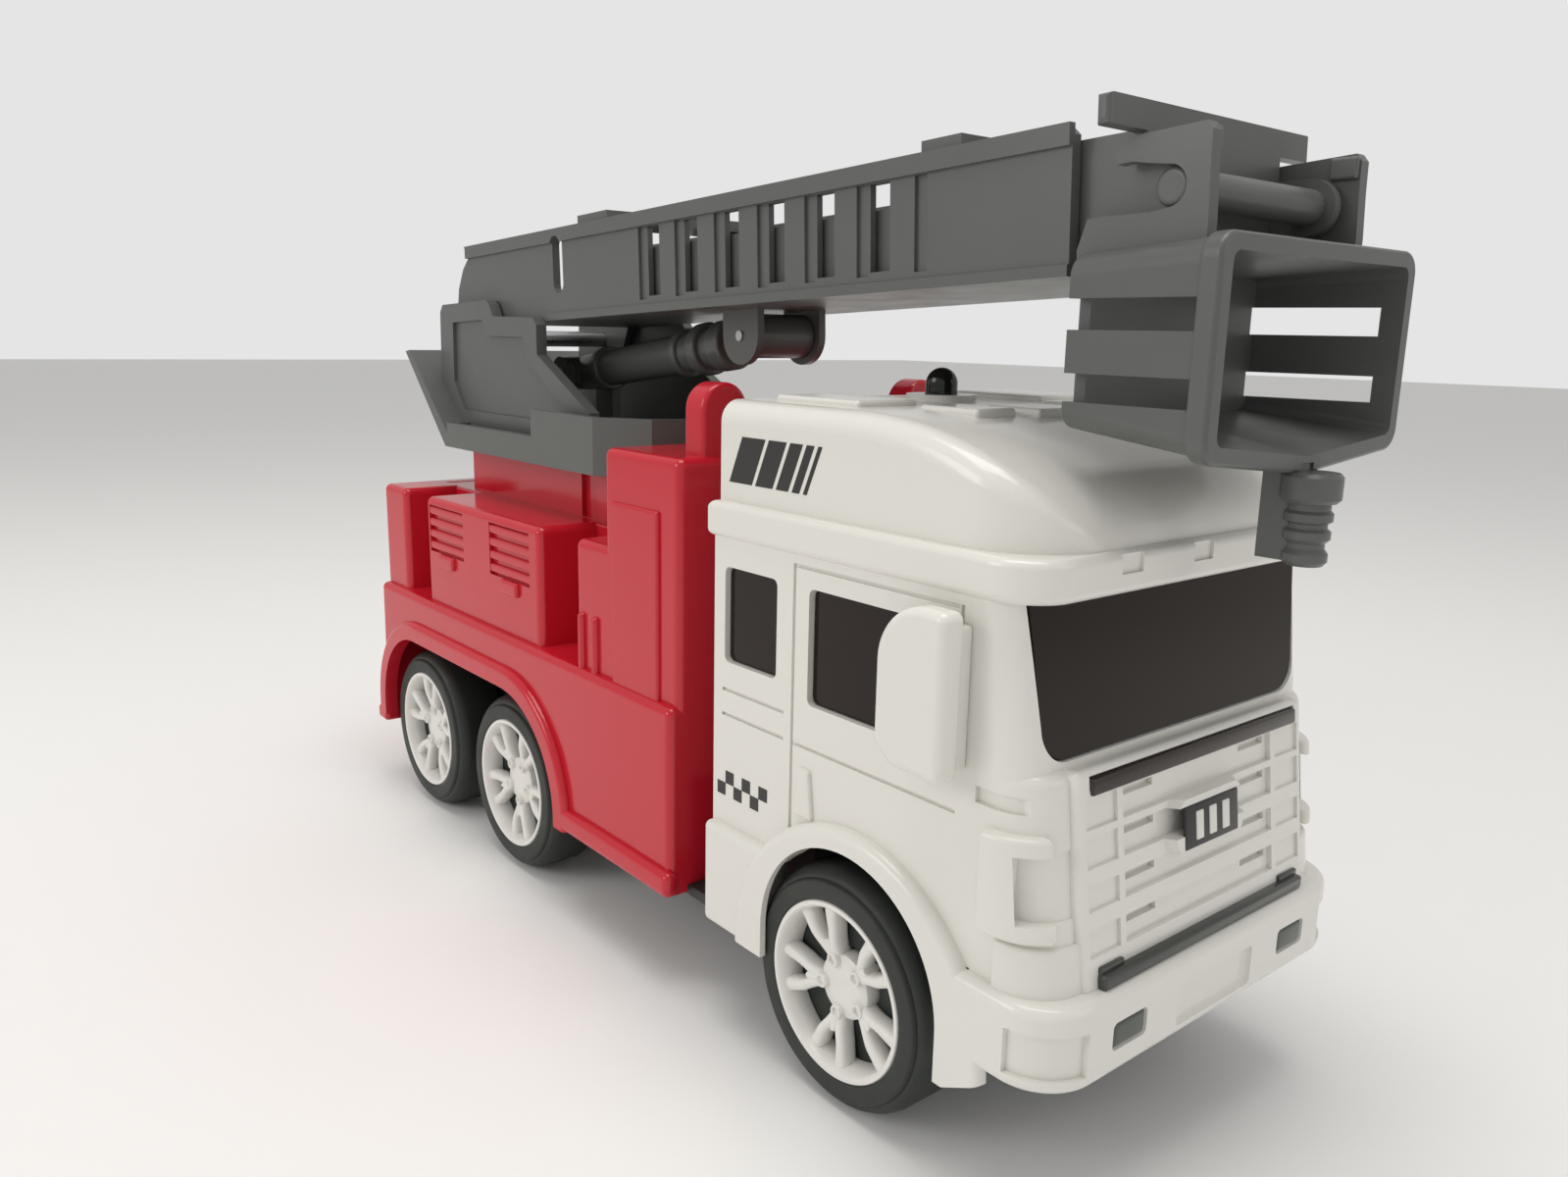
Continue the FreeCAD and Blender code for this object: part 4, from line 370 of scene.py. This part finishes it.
def add_roof_stripes(side_name, side):
    """Slanted stripes printed along the wind deflector's side."""
    low, high, lean = 97.6, 105.2, 3.4
    parts = []
    start = 37.0
    for width in (6.0, 4.4, 3.0, 1.8, 0.9):
        outline = [(start, low), (start + width, low), (start + width + lean, high), (start + lean, high)]
        parts.append(side_print(side, 35.0, outline))
        start += width + 0.9
    add_object("roof_stripes_" + side_name, *join(parts), "dark_print", "chassis", "black_plastic")


def add_chequers(side_name, side):
    """Two rows of printed squares low on the cab's rear corner."""
    parts = []
    columns, rows, cell = 6, 2, 2.3
    for column in range(columns):
        for row in range(rows):
            if (column + row) % 2:
                continue
            x = 35.9 + column * cell
            z = 43.2 + row * cell
            parts.append(side_print(side, 36.1, [(x, z), (x + cell, z), (x + cell, z + cell), (x, z + cell)]))
    add_object("chequers_" + side_name, *join(parts), "dark_print", "chassis", "black_plastic")


add_strips()
add_badge()
for trim_side, trim_sign in SIDES.items():
    add_fog_lamp(trim_side, trim_sign)
    add_roof_stripes(trim_side, trim_sign)
    add_chequers(trim_side, trim_sign)

# ---------------------------------------------------------------- stage, light, camera

floor_mesh = bpy.data.meshes.new("floor")
floor_mesh.from_pydata([(-4, -4, 0), (4, -4, 0), (4, 4, 0), (-4, 4, 0)], [], [(0, 1, 2, 3)])
floor_mesh.materials.append(plastic("floor_paper", (0.92, 0.92, 0.91), 0.7, 0.0, 0.0))
floor = bpy.data.objects.new("floor", floor_mesh)
bpy.context.scene.collection.objects.link(floor)

world = bpy.data.worlds.new("studio")
bpy.context.scene.world = world
world.use_nodes = True
background = world.node_tree.nodes["Background"]
background.inputs["Color"].default_value = (1.0, 0.99, 0.975, 1)
background.inputs["Strength"].default_value = 0.55

white_sky = world.node_tree.nodes.new("ShaderNodeBackground")
white_sky.inputs["Strength"].default_value = 0.98
seen = world.node_tree.nodes.new("ShaderNodeLightPath")
either = world.node_tree.nodes.new("ShaderNodeMixShader")
world.node_tree.links.new(seen.outputs["Is Camera Ray"], either.inputs["Fac"])
world.node_tree.links.new(background.outputs["Background"], either.inputs[1])
world.node_tree.links.new(white_sky.outputs["Background"], either.inputs[2])
world.node_tree.links.new(either.outputs["Shader"], world.node_tree.nodes["World Output"].inputs["Surface"])


def add_light(name, location, target, size, power, color=(1, 1, 1)):
    light = bpy.data.lights.new(name, "AREA")
    light.shape = "RECTANGLE"
    light.size, light.size_y = size
    light.energy = power
    light.color = color
    item = bpy.data.objects.new(name, light)
    item.location = location
    item.rotation_mode = "QUATERNION"
    item.rotation_quaternion = (Vector(target) - Vector(location)).to_track_quat("-Z", "Y")
    bpy.context.scene.collection.objects.link(item)


add_light("top_softbox", (0.05, -0.05, 0.75), (0, 0, 0.06), (0.5, 0.35), 2.3, (1.0, 0.98, 0.95))
add_light("side_softbox", (-0.25, -0.8, 0.45), (0, 0, 0.08), (0.45, 0.4), 1.7, (1.0, 0.98, 0.95))
add_light("front_fill", (0.8, 0.3, 0.4), (0, 0, 0.07), (0.4, 0.4), 0.45, (1.0, 0.98, 0.95))

YAW, PITCH, ROLL = 39.434, 12.138, 1.140
yaw, pitch, roll = (math.radians(a) for a in (YAW, PITCH, ROLL))
forward = Vector((-math.cos(yaw) * math.cos(pitch), math.sin(yaw) * math.cos(pitch), -math.sin(pitch)))
right = forward.cross(Vector((0, 0, 1))).normalized()
up = right.cross(forward)
right_rolled = right * math.cos(roll) + up * math.sin(roll)
up_rolled = up * math.cos(roll) - right * math.sin(roll)
camera_data = bpy.data.cameras.new("camera")
camera_data.sensor_width = 36.0
camera_data.lens = 27.354
camera_data.clip_start = 0.005
camera = bpy.data.objects.new("camera", camera_data)
bpy.context.scene.collection.objects.link(camera)
basis = Matrix((right_rolled, up_rolled, -forward)).transposed().to_4x4()
camera.matrix_world = Matrix.Translation(Vector((0.19433, -0.15230, 0.12186)) + SHIFT) @ basis
bpy.context.scene.camera = camera
bpy.context.scene.view_settings.view_transform = "Standard"
